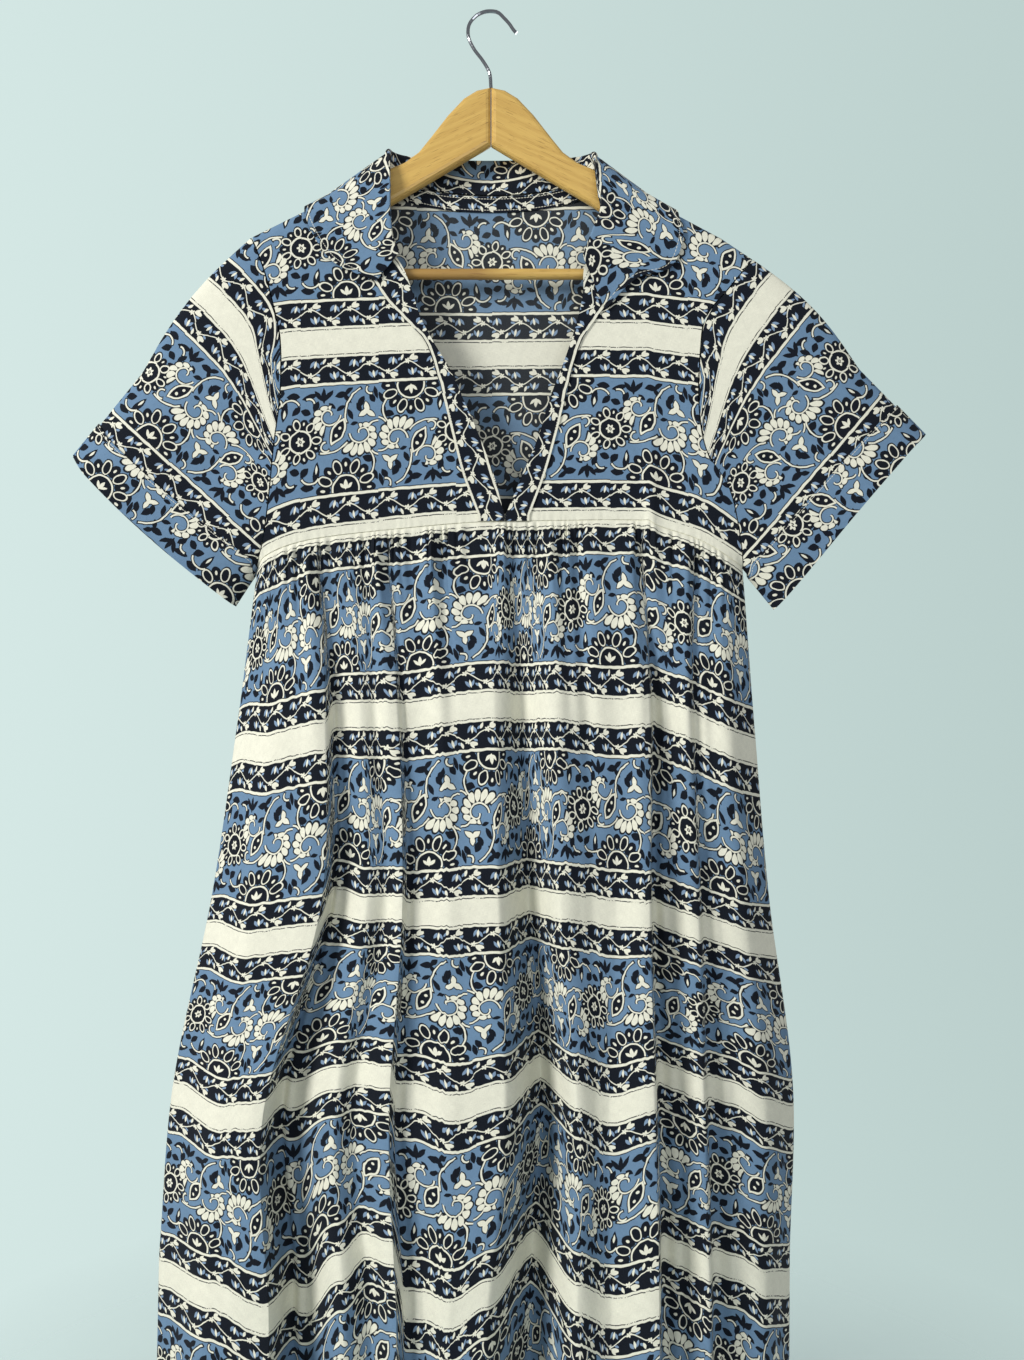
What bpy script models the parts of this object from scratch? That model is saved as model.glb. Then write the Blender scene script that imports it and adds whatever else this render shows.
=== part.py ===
"""A block-printed midi dress on a wooden hanger, hung from its hook.

Sizes are in millimetres. X runs to the wearer's left as seen from the front, the front faces -Y,
and "drop" is the distance below the inside of the hook, where the hanger hangs.
"""

import math

import bmesh
import bpy
from mathutils import Vector

MM = 0.001

# Cloth
WALL = 1.2
SEAM_GAP = 0.5
UNDERARM_GAP = 0.9
NECK_GAP = 1.3
YOKE_GAP = 0.8
LAYER = 1.7
FOLD_RADIUS = 2.0
RIDGE_RADIUS = 8.5
FULLNESS = 9.5
FULL_DROP = 300.0

# Levels
NECK_DROP = 158.5
UNDERARM_DROP = 556.0
V_DROP = 506.0
HEM_DROP = 1410.0

# Hanger
ARM_THICKNESS = 12.0
ARM_BEVEL = 5.0
BOW = 8.0
REST_GAP = 0.35
BAR_DIAMETER = 10.5
BAR_DROP = 263.5
BAR_END = 177.5
WIRE = 3.5

GATHERS = 48
GATHER_HEIGHT = 1.5
WIDE_FOLD = 34.0

# Top of the shoulders: x, drop
RIDGE = (
    (-275, 271), (-256, 247), (-235, 230), (-181, 201), (-104, 158.5), (0, 105),
    (104, 158.5), (180, 204), (227, 231), (258, 253), (277, 276),
)

# Armhole seams from shoulder to underarm: x, drop
ARMHOLE_LEFT = (
    (-235, 230), (-222, 263), (-211, 304), (-205, 335), (-205, 388), (-211, 439),
    (-216, 491), (-222, 530), (-230, UNDERARM_DROP),
)
ARMHOLE_RIGHT = (
    (258, 253), (233, 283), (210, 312), (205, 340), (203, 397), (210, 442),
    (232, 480), (243, 526), (248, UNDERARM_DROP),
)

# Sleeve hems from top fold to bottom fold: x, drop
SLEEVE_HEM_LEFT = ((-406, 449), (-392, 469), (-332, 528), (-254, 593))
SLEEVE_HEM_RIGHT = ((423, 429), (404, 448), (350, 511), (281, 596))

# Neck and V from shoulder to gathered seam. Columns: drop, then the x of the fold and of the
# facing strip's free edge, left and right
NECK_V = (
    (158.5, -106, -116, 106, 116),
    (185, -108, -122, 110, 124),
    (212, -107, -124, 110.5, 130),
    (237, -101, -120, 105, 128),
    (262, -86, -110, 92, 120),
    (285, -77, -98, 91, 113),
    (310, -69, -81, 86, 101),
    (337, -55, -63, 78, 88),
    (360, -41, -55, 70, 81),
    (391, -27, -46, 58, 73),
    (428, -11, -37, 47, 64),
    (466, 3, -27, 31, 53),
    (506, 13.6, -12, 14.4, 38),
)

# Gathered seam: x, drop
YOKE = (
    (-230, UNDERARM_DROP), (-222, 546), (-194, 534), (-162, 527), (-96, 519), (-20, 512),
    (38, 510.5), (153, 510.5), (161, 515), (206, 531), (248, UNDERARM_DROP),
)

BACK_YOKE = (
    (-230, UNDERARM_DROP), (-222, 546), (-194, 534), (-162, 527), (-96, 519), (-20, 513),
    (38, 511.5), (110, 514), (170, 522), (218, 538), (248, UNDERARM_DROP),
)

# Back neck: x, drop
BACK_NECK = (
    (-106, 159.5), (-104, 158.9), (-102.5, 158.6), (-99, 160.5), (-94, 164), (-84, 168), (-45, 175),
    (0, 177), (45, 175), (84, 168), (94, 164), (99, 160.5), (102.5, 158.6), (104, 158.9), (106, 159.6),
)
BACK_COLUMNS = (
    -235, -225, -211, -194, -172, -150, -127, -106, -104, -102.5, -99, -94, -84, -58, -28, 0,
    28, 58, 84, 94, 99, 102.5, 104, 106, 127, 150, 172, 198, 223, 243, 258,
)

# Collar sections round the neck, from the left front to the right front. Columns: x and drop of
# the neck seam, of the roll and of the outer edge, and how far front (-1) or back (+1) each lies
COLLAR = (
    # neck x, drop, roll x, roll y, roll drop, edge x, edge drop, side
    (-99.5, 246, -90, -21, 247, -112, 276, -1),
    (-104, 233, -96, -22, 232, -134, 268, -1),
    (-106.5, 212, -98.5, -21, 205, -155, 257, -1),
    (-107.5, 190, -99, -18, 178, -169, 239, -1),
    (-106, 168, -100, -12, 153, -180, 217, -1),
    (-104.5, 157, -100, -2, 139, -183, 200, 0),
    (-100, 163, -98, 9, 137, -168, 214, 1),
    (-84, 167, -84, 17, 137, -128, 219, 1),
    (-45, 174, -46, 22, 138, -66, 208, 1),
    (0, 176, 0, 24, 138, 0, 204, 1),
    (45, 174, 46, 22, 138, 66, 210, 1),
    (84, 167, 84, 17, 138, 128, 221, 1),
    (101, 163, 98, 9, 139, 170, 218, 1),
    (104.5, 157, 101, -2, 142, 181, 203, 0),
    (107, 168, 103, -12, 156, 186, 218, -1),
    (109, 190, 105, -18, 180, 188, 236, -1),
    (111, 212, 108, -21, 205, 176, 264, -1),
    (106, 233, 99, -22, 230, 143, 274, -1),
    (98, 250, 91, -22, 252, 112, 304, -1),
)

# Folds of the skirt front. Columns: x at each drop of FRONT_LEVELS, and how proud the fold
# stands above and below (0 in a valley, 1 on the tallest ridge)
FRONT_LEVELS = (556, 706, 880, 1070, 1240)
FRONT_FOLDS = {
    "left_side": (-229, -250, -277, -317, -331, 0.0, 0.0),
    "left_roll": (-207, -209, -222, -248, -262, 0.85, 0.75),
    "left_edge": (-169, -156, -158, -209, -201, 1.0, 0.85),
    "left_step": (-158, -145, -146, -190, -178, 0.45, 0.15),
    "second": (-141, -124, -116, -143, -133, 0.8, 0.8),
    "second_step": (-117, -107, -97, -125, -110, 0.62, 0.6),
    "third": (-101, -88, -82, -92, -84, 0.85, 0.95),
    "third_step": (-89, -77, -69, -74, -62, 0.6, 0.7),
    "centre_plate": (-45, -34, -28, -30, -34, 0.85, 0.95),
    "centre_edge": (-3, 4, 8, 14, -2, 1.0, 1.0),
    "main_valley": (24, 31, 37, 49, 39, 0.1, 0.0),
    "right_edge": (53, 58, 67, 81, 80, 0.95, 0.95),
    "right_crease": (108, 118, 119, 111, 112, 0.7, 0.72),
    "right_plate": (147, 153, 150, 152, 154, 0.95, 1.0),
    "right_step": (165, 171, 170, 178, 180, 0.25, 0.5),
    "outer": (196, 193, 198, 200, 203, 0.6, 0.8),
    "outer_step": (214, 212, 221, 231, 234, 0.4, 0.45),
    "right_roll": (231, 232, 244, 262, 262, 0.6, 0.65),
    "right_side": (247.5, 260, 276, 301, 298, 0.0, 0.0),
}

# Folds of the skirt back, in the same columns
BACK_FOLDS = {
    "left_side": (-229, -250, -277, -317, -331, 0.3, 0.3),
    "left_roll": (-200, -213, -232, -262, -274, 0.9, 0.8),
    "left_dip": (-171, -180, -190, -214, -226, 0.2, 0.3),
    "left_fold": (-140, -143, -150, -168, -172, 0.8, 1.0),
    "left_inner_dip": (-108, -110, -112, -118, -124, 0.2, 0.0),
    "centre_left_fold": (-72, -73, -74, -74, -70, 0.9, 0.9),
    "centre_left_dip": (-38, -38, -36, -26, -22, 0.3, 0.35),
    "centre_fold": (-4, -3, 2, 16, 22, 0.7, 1.0),
    "centre_dip": (30, 32, 38, 50, 58, 0.1, 0.1),
    "centre_right_fold": (66, 72, 76, 92, 96, 1.0, 0.85),
    "right_inner_dip": (100, 106, 112, 126, 134, 0.3, 0.0),
    "right_fold": (134, 141, 150, 166, 172, 0.8, 1.0),
    "right_dip": (168, 176, 188, 204, 210, 0.2, 0.4),
    "right_roll": (208, 219, 234, 252, 256, 0.9, 0.75),
    "right_side": (247.5, 260, 276, 301, 298, 0.3, 0.3),
}

# Depth of the skirt from its side seams. Columns: drop, valley and fold height in front, valley
# and fold height behind
DEPTHS = (
    (510, 15, 4, 15, 3),
    (706, 22, 26, 15, 8),
    (880, 27, 44, 14, 12),
    (1070, 32, 60, 13, 16),
    (1240, 36, 68, 12, 19),
    (HEM_DROP, 38, 72, 12, 20),
)

# Top of the wood: x, drop, then its lower edge, on the left arm. The right arm mirrors it
ARM_TOP = ((0, 76), (-14, 79), (-27, 87), (-43, 104), (-60, 126), (-72, 141), (-86, 151.5))
ARM_LOWER = (
    (-178, 274), (-178, 250), (-160, 234), (-128, 212), (-99, 193), (0, 133.5),
)
ARM_END = ((-208, 220), (-208, 256), (-201, 269), (-191, 274))

# Hook from the stem to the ball: x, drop
HOOK = (
    (0, 75.4), (-1.5, 60), (-8, 48), (-17, 36), (-22.5, 24), (-22, 12), (-15, 3), (-7, -1),
    (0, -1.75), (7, -0.5), (13, 5), (18.5, 11), (22.5, 17), (25.5, 20),
)

# Places down a panel and round a sleeve, close together where the cloth turns
ROWS = (
    0, 0.0018, 0.0073, 0.025, 0.06, 0.12, 0.2, 0.245, 0.29, 0.38, 0.47, 0.56, 0.65, 0.74, 0.83,
    0.91, 0.965, 0.9945, 0.9984, 1,
)
PANEL_ROWS = ROWS[:-3] + (1,)


def clamp(value, low=0.0, high=1.0):
    return max(low, min(high, value))


def smooth(value):
    value = clamp(value)
    return value * value * (3 - 2 * value)


def read(table, key, column=1):
    """A smooth curve through one column of a table, read at a value of its first column."""
    if key <= table[0][0]:
        return table[0][column]
    if key >= table[-1][0]:
        return table[-1][column]
    last = len(table) - 1
    i = max(n for n in range(last) if table[n][0] <= key)
    low, high = table[i], table[i + 1]
    width = high[0] - low[0]

    def slope(n):
        before, after = table[max(n - 1, 0)], table[min(n + 1, last)]
        return (after[column] - before[column]) / (after[0] - before[0]) * width

    u = (key - low[0]) / width
    a, b = low[column], high[column]
    rise = u * (1 - u) * ((1 - u) * (slope(i) - (b - a)) - u * (slope(i + 1) - (b - a)))
    return a + (b - a) * u + rise


def read_line(points, place):
    """A smooth line through points, read at a place from 0 to 1 along its length."""
    marks = [0.0]
    for a, b in zip(points, points[1:]):
        marks.append(marks[-1] + math.dist(a, b))
    table = [(mark / marks[-1], *point) for mark, point in zip(marks, points)]
    return [read(table, place, column + 1) for column in range(len(points[0]))]


def ridge(x):
    """Drop of the shoulder line, straight from point to point along the wood."""
    for (x0, drop0), (x1, drop1) in zip(RIDGE, RIDGE[1:]):
        if x <= x1:
            break
    return drop0 + (drop1 - drop0) * clamp((x - x0) / (x1 - x0))


def yoke(x, side):
    """Drop of the gathered seam, front (-1) or back (1)."""
    return read(YOKE if side < 0 else BACK_YOKE, x)


def bow(x):
    """How far forward the hanger's plane has come at this x."""
    reach = abs(x) / 210
    return -BOW * (reach * reach if reach < 1 else 2 * reach - 1)


def half_depth(x, drop):
    """How far the bodice stands from the hanger's plane, front or back."""
    down = max(drop - ridge(x), 0)
    turn = min(down, RIDGE_RADIUS)
    depth = math.sqrt(turn * (2 * RIDGE_RADIUS - turn))
    depth += FULLNESS * math.sqrt(clamp((down - RIDGE_RADIUS) / FULL_DROP))
    for corner in (ARMHOLE_LEFT[-1], ARMHOLE_RIGHT[-1]):
        near = clamp(math.hypot(x - corner[0], 0.6 * (drop - corner[1])) / 90)
        depth *= math.sqrt(1 - (1 - near) ** 4)
    return 0.15 + 0.6 * clamp(down / RIDGE_RADIUS) + depth


def tuck(x, drop):
    """The small upright fold on the right front."""
    return 3.5 * math.exp(-(((x - 157) / 7) ** 2)) * smooth((drop - 350) / 150)


def on_bodice(x, drop, side, out=0.0):
    """A point on the front (side -1) or back (side 1), moved out by a layer."""
    depth = half_depth(x, drop) + out
    if side < 0:
        depth += tuck(x, drop)
    return (x, bow(x) + side * depth, -drop)


def coons(left, right, top, bottom, s, t):
    """A point inside four edges, each a function of its place from 0 to 1."""
    a, b, c, d = left(t), right(t), top(s), bottom(s)
    corners = (left(0), right(0), left(1), right(1))
    point = []
    for k in range(2):
        across = (1 - s) * a[k] + s * b[k]
        down = (1 - t) * c[k] + t * d[k]
        both = (1 - t) * ((1 - s) * corners[0][k] + s * corners[1][k])
        both += t * ((1 - s) * corners[2][k] + s * corners[3][k])
        point.append(across + down - both)
    return point


def neck_edge(hand, t):
    """The fold of the neck and V on one hand (-1 left, 1 right), from shoulder to seam."""
    column = 1 if hand < 0 else 3
    drop = NECK_DROP + t * (V_DROP - NECK_DROP)
    return (read(NECK_V, drop, column), drop)


def front_place(hand, s, t):
    """Across (0 armhole, 1 neck fold) and down one front: its x and drop."""
    armhole = ARMHOLE_LEFT if hand < 0 else ARMHOLE_RIGHT
    neck_x = neck_edge(hand, 0)[0]
    shoulder_x = armhole[0][0]
    corner_x = armhole[-1][0]
    end_x = neck_edge(hand, 1)[0]

    def top(s):
        x = shoulder_x + s * (neck_x - shoulder_x)
        return (x, ridge(x))

    def bottom(s):
        x = corner_x + s * (end_x - corner_x)
        return (x, yoke(x, -1) - smooth(1.5 * s - 0.5) * (yoke(end_x, -1) - V_DROP))

    return coons(
        lambda t: read_line(armhole, t), lambda t: neck_edge(hand, t), top, bottom, s, t
    )


def back_place(s, t):
    """Across (0 left armhole, 1 right armhole) and down the back: its x and drop."""
    first, last = ARMHOLE_LEFT[0][0], ARMHOLE_RIGHT[0][0]
    low_first, low_last = ARMHOLE_LEFT[-1][0], ARMHOLE_RIGHT[-1][0]

    def top(s):
        x = first + s * (last - first)
        inside = BACK_NECK[0][0] < x < BACK_NECK[-1][0]
        return (x, read(BACK_NECK, x) if inside else ridge(x))

    def bottom(s):
        x = low_first + s * (low_last - low_first)
        return (x, yoke(x, 1))

    return coons(
        lambda t: read_line(ARMHOLE_LEFT, t),
        lambda t: read_line(ARMHOLE_RIGHT, t),
        top,
        bottom,
        s,
        t,
    )


def sleeve_point(hand, q, v, side, out=0.0):
    """Round (q 0 top fold, 1 bottom fold) and along (v 0 armhole, 1 hem) a sleeve."""
    if out:
        return moved_out(lambda q, v: sleeve_point(hand, q, v, side), q, v, side, hand, out)
    start, end = sleeve_line(hand, q)
    length = math.dist(start, end)
    v = SEAM_GAP / length + v * (1 - SEAM_GAP / length)
    bulge = 9 * math.sin(math.pi * clamp(v / 0.62)) * (1 - q) ** 2
    along = [(b - a) / length for a, b in zip(start, end)]
    x = start[0] + v * (end[0] - start[0]) + abs(along[1]) * hand * bulge
    x += hand * UNDERARM_GAP * (1 - v)
    drop = start[1] + v * (end[1] - start[1]) - abs(along[0]) * bulge
    round_length = (1 - v) * 340 + v * 215
    from_fold = min(q, 1 - q) * round_length
    fold = min(from_fold, FOLD_RADIUS)
    rounded = math.sqrt(fold * (2 * FOLD_RADIUS - fold))
    lens = 15 * math.sqrt(1 - abs(2 * q - 1) ** 3)
    crease = 2.5 * math.sin(math.pi * v) * math.sin(7 * q + 2.2 * v) * min(q, 1 - q) * 2
    depth = (1 - v) * half_depth(*start) + v * lens + crease
    depth = rounded if from_fold <= FOLD_RADIUS else max(depth, FOLD_RADIUS)
    return (x, bow(x) + side * depth, -drop)


def sleeve_line(hand, q):
    """Where the line round-place q starts at the armhole and ends at the hem."""
    armhole = ARMHOLE_LEFT if hand < 0 else ARMHOLE_RIGHT
    hem = SLEEVE_HEM_LEFT if hand < 0 else SLEEVE_HEM_RIGHT
    return read_line(armhole, q), read_line(hem, q)


def moved_out(point_at, q, v, side, hand, out):
    """A sleeve's point moved out square to its surface, or off its top or bottom fold."""
    here = Vector(point_at(q, v))
    step = 0.002
    along = Vector(point_at(q, min(v + step, 1))) - Vector(point_at(q, max(v - step, 0)))
    if q in (0, 1):
        away = along.cross(Vector((0, 1, 0))).normalized()
        up = 1 if q == 0 else -1
        return here + away * (out if away.z * up > 0 else -out)
    around = Vector(point_at(min(q + step, 1), v)) - Vector(point_at(max(q - step, 0), v))
    away = along.cross(around).normalized()
    return here + away * (out if away.y * side > 0 else -out)


def fold_lines(folds, drop):
    """Each fold's x and how proud it stands, at a drop."""
    last = FRONT_LEVELS[-1]
    found = []
    for row in folds.values():
        table = [(level, row[n]) for n, level in enumerate(FRONT_LEVELS)]
        x = read(table, drop)
        if drop > last:
            x += 0.25 * (row[4] - row[3]) * (drop - last) / (last - FRONT_LEVELS[-2])
        proud = row[5] + (row[6] - row[5]) * smooth((drop - 700) / 500)
        found.append((x, proud))
    return found


def skirt_point(folds, side, c, r):
    """Across (c, 0 to 1 over the folds) and down (r, 0 seam to 1 hem) one skirt panel."""
    top_lines = fold_lines(folds, FRONT_LEVELS[0])
    place = c * (len(top_lines) - 1)
    i = min(int(place), len(top_lines) - 2)
    u = place - i
    top_x = top_lines[i][0] * (1 - u) + top_lines[i + 1][0] * u
    top_drop = yoke(top_x, side) + YOKE_GAP
    drop = top_drop + r * (HEM_DROP - top_drop)
    lines = fold_lines(folds, drop)
    x = lines[i][0] * (1 - u) + lines[i + 1][0] * u
    proud = lines[i][1] + (lines[i + 1][1] - lines[i][1]) * smooth(u)
    left, right = lines[0][0], lines[-1][0]
    across = clamp((x - left) / (right - left))
    lens = math.sqrt(max(1 - abs(2 * across - 1) ** 5, 0))
    valley, height = (1, 2) if side < 0 else (3, 4)
    full = lens * (read(DEPTHS, drop, valley) + proud * read(DEPTHS, drop, height))
    seam = half_depth(top_x, yoke(top_x, side)) + (tuck(top_x, drop) if side < 0 else 0)
    down = drop - top_drop
    depth = seam + (full - seam) * smooth(down / 170)
    fade = math.exp(-down / 45)
    edge = smooth(min(across, 1 - across) * 14)
    width = top_lines[-1][0] - top_lines[0][0]
    turn = 2 * math.pi * GATHERS * (top_x - top_lines[0][0]) / width
    depth += GATHER_HEIGHT * edge * fade * math.sin(turn)
    upper = 2.2 * edge * smooth(down / 30) * math.exp(-down / 110)
    depth += upper * math.sin(turn / 3 + 0.8 * math.sin(turn / 11))
    plane = bow(x) * (1 - smooth(down / 500))
    return (x, plane + side * max(depth, 0.75), -drop)


def clear_of_bodice(x, y, z, clear):
    """The point, pushed out until it lies clear of the shoulder and the panels."""
    drop = -z
    plane = bow(x)
    centre = ridge(x) + RIDGE_RADIUS
    rise, aside = centre - drop, y - plane
    if rise > 0:
        reach = math.hypot(rise, aside)
        need = RIDGE_RADIUS + clear
        if reach < need:
            aside, rise = aside * need / reach, rise * need / reach
        return (x, plane + aside, rise - centre)
    side = -1 if aside < 0 else 1
    need = half_depth(x, drop) + clear + (tuck(x, drop) if side < 0 else 0)
    return (x, plane + side * max(abs(aside), need), z)


def collar_point(place, v):
    """Round the neck (0 left front to 1 right front) and from seam (0) over to edge (1)."""
    rows = [(n / (len(COLLAR) - 1), *row) for n, row in enumerate(COLLAR)]
    neck_x, neck_drop, roll_x, roll_y, roll_drop, edge_x, edge_drop, side = (
        read(rows, place, column) for column in range(1, 9)
    )
    side = clamp(side, -1, 1)
    if side < 0:
        hand = -1 if neck_x < 0 else 1
        edge = read(NECK_V, neck_drop, 1 if hand < 0 else 3)
        neck_x = hand * min(abs(neck_x), abs(edge) - NECK_GAP)
    else:
        neck_drop = min(neck_drop, read(BACK_NECK, neck_x) - NECK_GAP)
    neck_y = bow(neck_x) + side * half_depth(neck_x, neck_drop)
    neck_x, neck_y, up = clear_of_bodice(neck_x, neck_y, -neck_drop, REST_GAP)
    neck_drop = -up
    roll_out = 2.6
    if v <= 0.3:
        u = v / 0.3
        inner_x = roll_x
        x = neck_x + u * (inner_x - neck_x)
        y = neck_y + u * (roll_y - side * roll_out - neck_y)
        drop = neck_drop + u * (roll_drop + 3 - neck_drop)
        return (x, y, -drop)
    if v <= 0.42:
        angle = math.pi * (v - 0.3) / 0.12
        y = roll_y - side * roll_out * math.cos(angle)
        outward = -1 if roll_x < 0 else 1
        flat = 1 - abs(side)
        x = roll_x + outward * flat * roll_out * (1 - math.cos(angle))
        return (x, y, -(roll_drop + 3 - 4.5 * math.sin(angle)))
    u = (v - 0.42) / 0.58
    outward = -1 if roll_x < 0 else 1
    start_x = roll_x + outward * (1 - abs(side)) * roll_out * 2
    x = start_x + u * (edge_x - start_x)
    y = roll_y + side * roll_out
    edge_y = bow(edge_x) + side * (half_depth(edge_x, edge_drop) + 2 * LAYER + 0.6)
    y = y + u * (edge_y - y)
    drop = roll_drop + 3 + u * (edge_drop - roll_drop - 3)
    return clear_of_bodice(x, y, -drop, 2 * LAYER + 1.2)


def strip_faces(upper, lower):
    """Faces between two rows of (place, vertex), which may hold unequal numbers."""
    faces = []
    i = j = 0
    while i < len(upper) - 1 or j < len(lower) - 1:
        more_up, more_low = i < len(upper) - 1, j < len(lower) - 1
        next_up = upper[i + 1][0] if more_up else math.inf
        next_low = lower[j + 1][0] if more_low else math.inf
        if more_up and more_low and abs(next_up - next_low) < 1e-6:
            faces.append((upper[i][1], lower[j][1], lower[j + 1][1], upper[i + 1][1]))
            i, j = i + 1, j + 1
        elif next_up < next_low:
            faces.append((upper[i][1], lower[j][1], upper[i + 1][1]))
            i += 1
        else:
            faces.append((upper[i][1], lower[j][1], lower[j + 1][1]))
            j += 1
    return faces


def material(name, colour, roughness, metallic=0.0):
    made = bpy.data.materials.new(name)
    made.use_nodes = True
    shader = made.node_tree.nodes["Principled BSDF"]
    shader.inputs["Base Color"].default_value = (*colour, 1)
    shader.inputs["Roughness"].default_value = roughness
    shader.inputs["Metallic"].default_value = metallic
    made.diffuse_color = (*colour, 1)
    return made


def cloth(name, rows, closed=False):
    """An open sheet through rows of (place, point), given its wall by a Solidify modifier."""
    work = bmesh.new()
    made = []
    for row in rows:
        made.append([(place, work.verts.new([a * MM for a in point])) for place, point in row])
    for upper, lower in zip(made, made[1:]):
        if closed:
            upper, lower = upper + [(2, upper[0][1])], lower + [(2, lower[0][1])]
        for corners in strip_faces(upper, lower):
            work.faces.new(corners)
    bmesh.ops.recalc_face_normals(work, faces=work.faces)
    mesh = bpy.data.meshes.new(name)
    work.to_mesh(mesh)
    work.free()
    mesh.shade_smooth()
    made = bpy.data.objects.new(name, mesh)
    mesh.materials.append(CLOTH_MATERIAL)
    PARTS.objects.link(made)
    thick = made.modifiers.new("wall", "SOLIDIFY")
    thick.thickness = WALL * MM
    thick.offset = 0
    return made


def panel(name, place_of, side, columns):
    grid = []
    for t in PANEL_ROWS:
        row = []
        for s in columns:
            x, drop = place_of(s, t)
            row.append((s, on_bodice(x, drop, side)))
        grid.append(row)
    return cloth(name, grid)


def bodice():
    from_armhole = (0, 0.05, 0.11, 0.19, 0.29, 0.4, 0.53, 0.68, 0.84, 1)
    first, last = BACK_COLUMNS[0], BACK_COLUMNS[-1]
    across = [(x - first) / (last - first) for x in BACK_COLUMNS]
    panel("bodice_front_left", lambda s, t: front_place(-1, s, t), -1, from_armhole)
    panel("bodice_front_right", lambda s, t: front_place(1, s, t), -1, from_armhole)
    panel("bodice_back", back_place, 1, across)


def placket(name, hand):
    """A facing strip turned out along the V, lying on the front."""
    grid = []
    drops = [250 + n * (V_DROP - 250) / 14 for n in range(15)]
    fold, edge = (1, 2) if hand < 0 else (3, 4)
    for drop in drops:
        row = []
        for n in range(4):
            s = n / 3
            x = read(NECK_V, drop, fold) * (1 - s) + read(NECK_V, drop, edge) * s
            level = drop + 24 * s * clamp((330 - drop) / 80)
            row.append((s, on_bodice(x, level, -1, LAYER)))
        grid.append(row)
    return cloth(name, grid)


def neck_strip():
    """The strip on the inside of the back neck, made from the back's points moved in."""
    columns = [x for x in BACK_COLUMNS if abs(x) < 90]
    grid = []
    for down in (1.5, 9, 17):
        row = []
        for s, x in enumerate(columns):
            drop = read(BACK_NECK, x) + down
            row.append((s, on_bodice(x, drop, 1, -LAYER)))
        grid.append(row)
    return cloth("neck_strip", grid)


def collar():
    grid = []
    spans = [2 if abs(row[7]) == abs(after[7]) else 4 for row, after in zip(COLLAR, COLLAR[1:])]
    places = [0]
    for i, steps in enumerate(spans):
        places += [(i + (n + 1) / steps) / len(spans) for n in range(steps)]
    profile = (0, 0.15, 0.3, 0.33, 0.36, 0.39, 0.42, 0.6, 0.8, 1)
    for place in places:
        grid.append([(v, collar_point(place, v)) for v in profile])
    return cloth("collar", grid)


def ring(point_at):
    """One closed loop of a sleeve: down its front and up its back."""
    front = [(n, point_at(q, -1)) for n, q in enumerate(ROWS)]
    back = [(len(ROWS) + n, point_at(q, 1)) for n, q in enumerate(reversed(ROWS[1:-1]))]
    loop = front + back
    return [(n / len(loop), point) for n, point in loop]


def sleeve(name, hand):
    grid = [
        ring(lambda q, side, v=v: sleeve_point(hand, q, v, side))
        for v in (0, 0.13, 0.3, 0.52, 0.76, 0.99)
    ]
    return cloth(name, grid, closed=True)


def cuff(name, hand):
    """The turned-up band: the sleeve's own points moved out by one layer."""
    def place(q, side, down):
        length = math.dist(*sleeve_line(hand, q))
        width = min(40 + 8 * q, 0.78 * length)
        return sleeve_point(hand, q, 1 - width / length * (1 - down), side, LAYER + 0.2)

    grid = [
        ring(lambda q, side, down=down: place(q, side, down)) for down in (0, 0.5, 1)
    ]
    return cloth(name, grid, closed=True)


def skirt(name, folds, side):
    """One panel of the tier: close gathers at the seam that run out into the large folds."""
    spans = len(folds) - 1
    lines = fold_lines(folds, FRONT_LEVELS[2])
    coarse = [0]
    for i, (near, far) in enumerate(zip(lines, lines[1:])):
        steps = 3 if far[0] - near[0] > WIDE_FOLD else 2
        coarse += [(i + (n + 1) / steps) / spans for n in range(steps)]
    lines = fold_lines(folds, FRONT_LEVELS[0])
    width = lines[-1][0] - lines[0][0]
    fine = []
    for n in range(3 * GATHERS + 1):
        x = lines[0][0] + width * n / (3 * GATHERS)
        i = min(max(k for k in range(spans) if lines[k][0] <= x + 1e-9), spans - 1)
        fine.append((i + (x - lines[i][0]) / (lines[i + 1][0] - lines[i][0])) / spans)
    grid = [[(c, skirt_point(folds, side, c, r)) for c in fine] for r in (0, 0.014, 0.04)]
    for r in (0.09, 0.16, 0.26, 0.37, 0.5, 0.63, 0.76, 0.88, 1):
        grid.append([(c, skirt_point(folds, side, c, r)) for c in coarse])
    return cloth(name, grid)


def finish(name, mesh, finish_material):
    mesh.materials.clear()
    mesh.materials.append(finish_material)
    made = bpy.data.objects.new(name, mesh)
    PARTS.objects.link(made)
    return made


def curve_mesh(curve):
    """A curve's evaluated mesh, its loose caps welded on."""
    guide = bpy.data.objects.new("guide", curve)
    bpy.context.scene.collection.objects.link(guide)
    graph = bpy.context.evaluated_depsgraph_get()
    mesh = bpy.data.meshes.new_from_object(guide.evaluated_get(graph))
    bpy.data.objects.remove(guide)
    work = bmesh.new()
    work.from_mesh(mesh)
    bmesh.ops.remove_doubles(work, verts=work.verts, dist=0.00001)
    bmesh.ops.recalc_face_normals(work, faces=work.faces)
    work.to_mesh(mesh)
    work.free()
    return mesh


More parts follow.
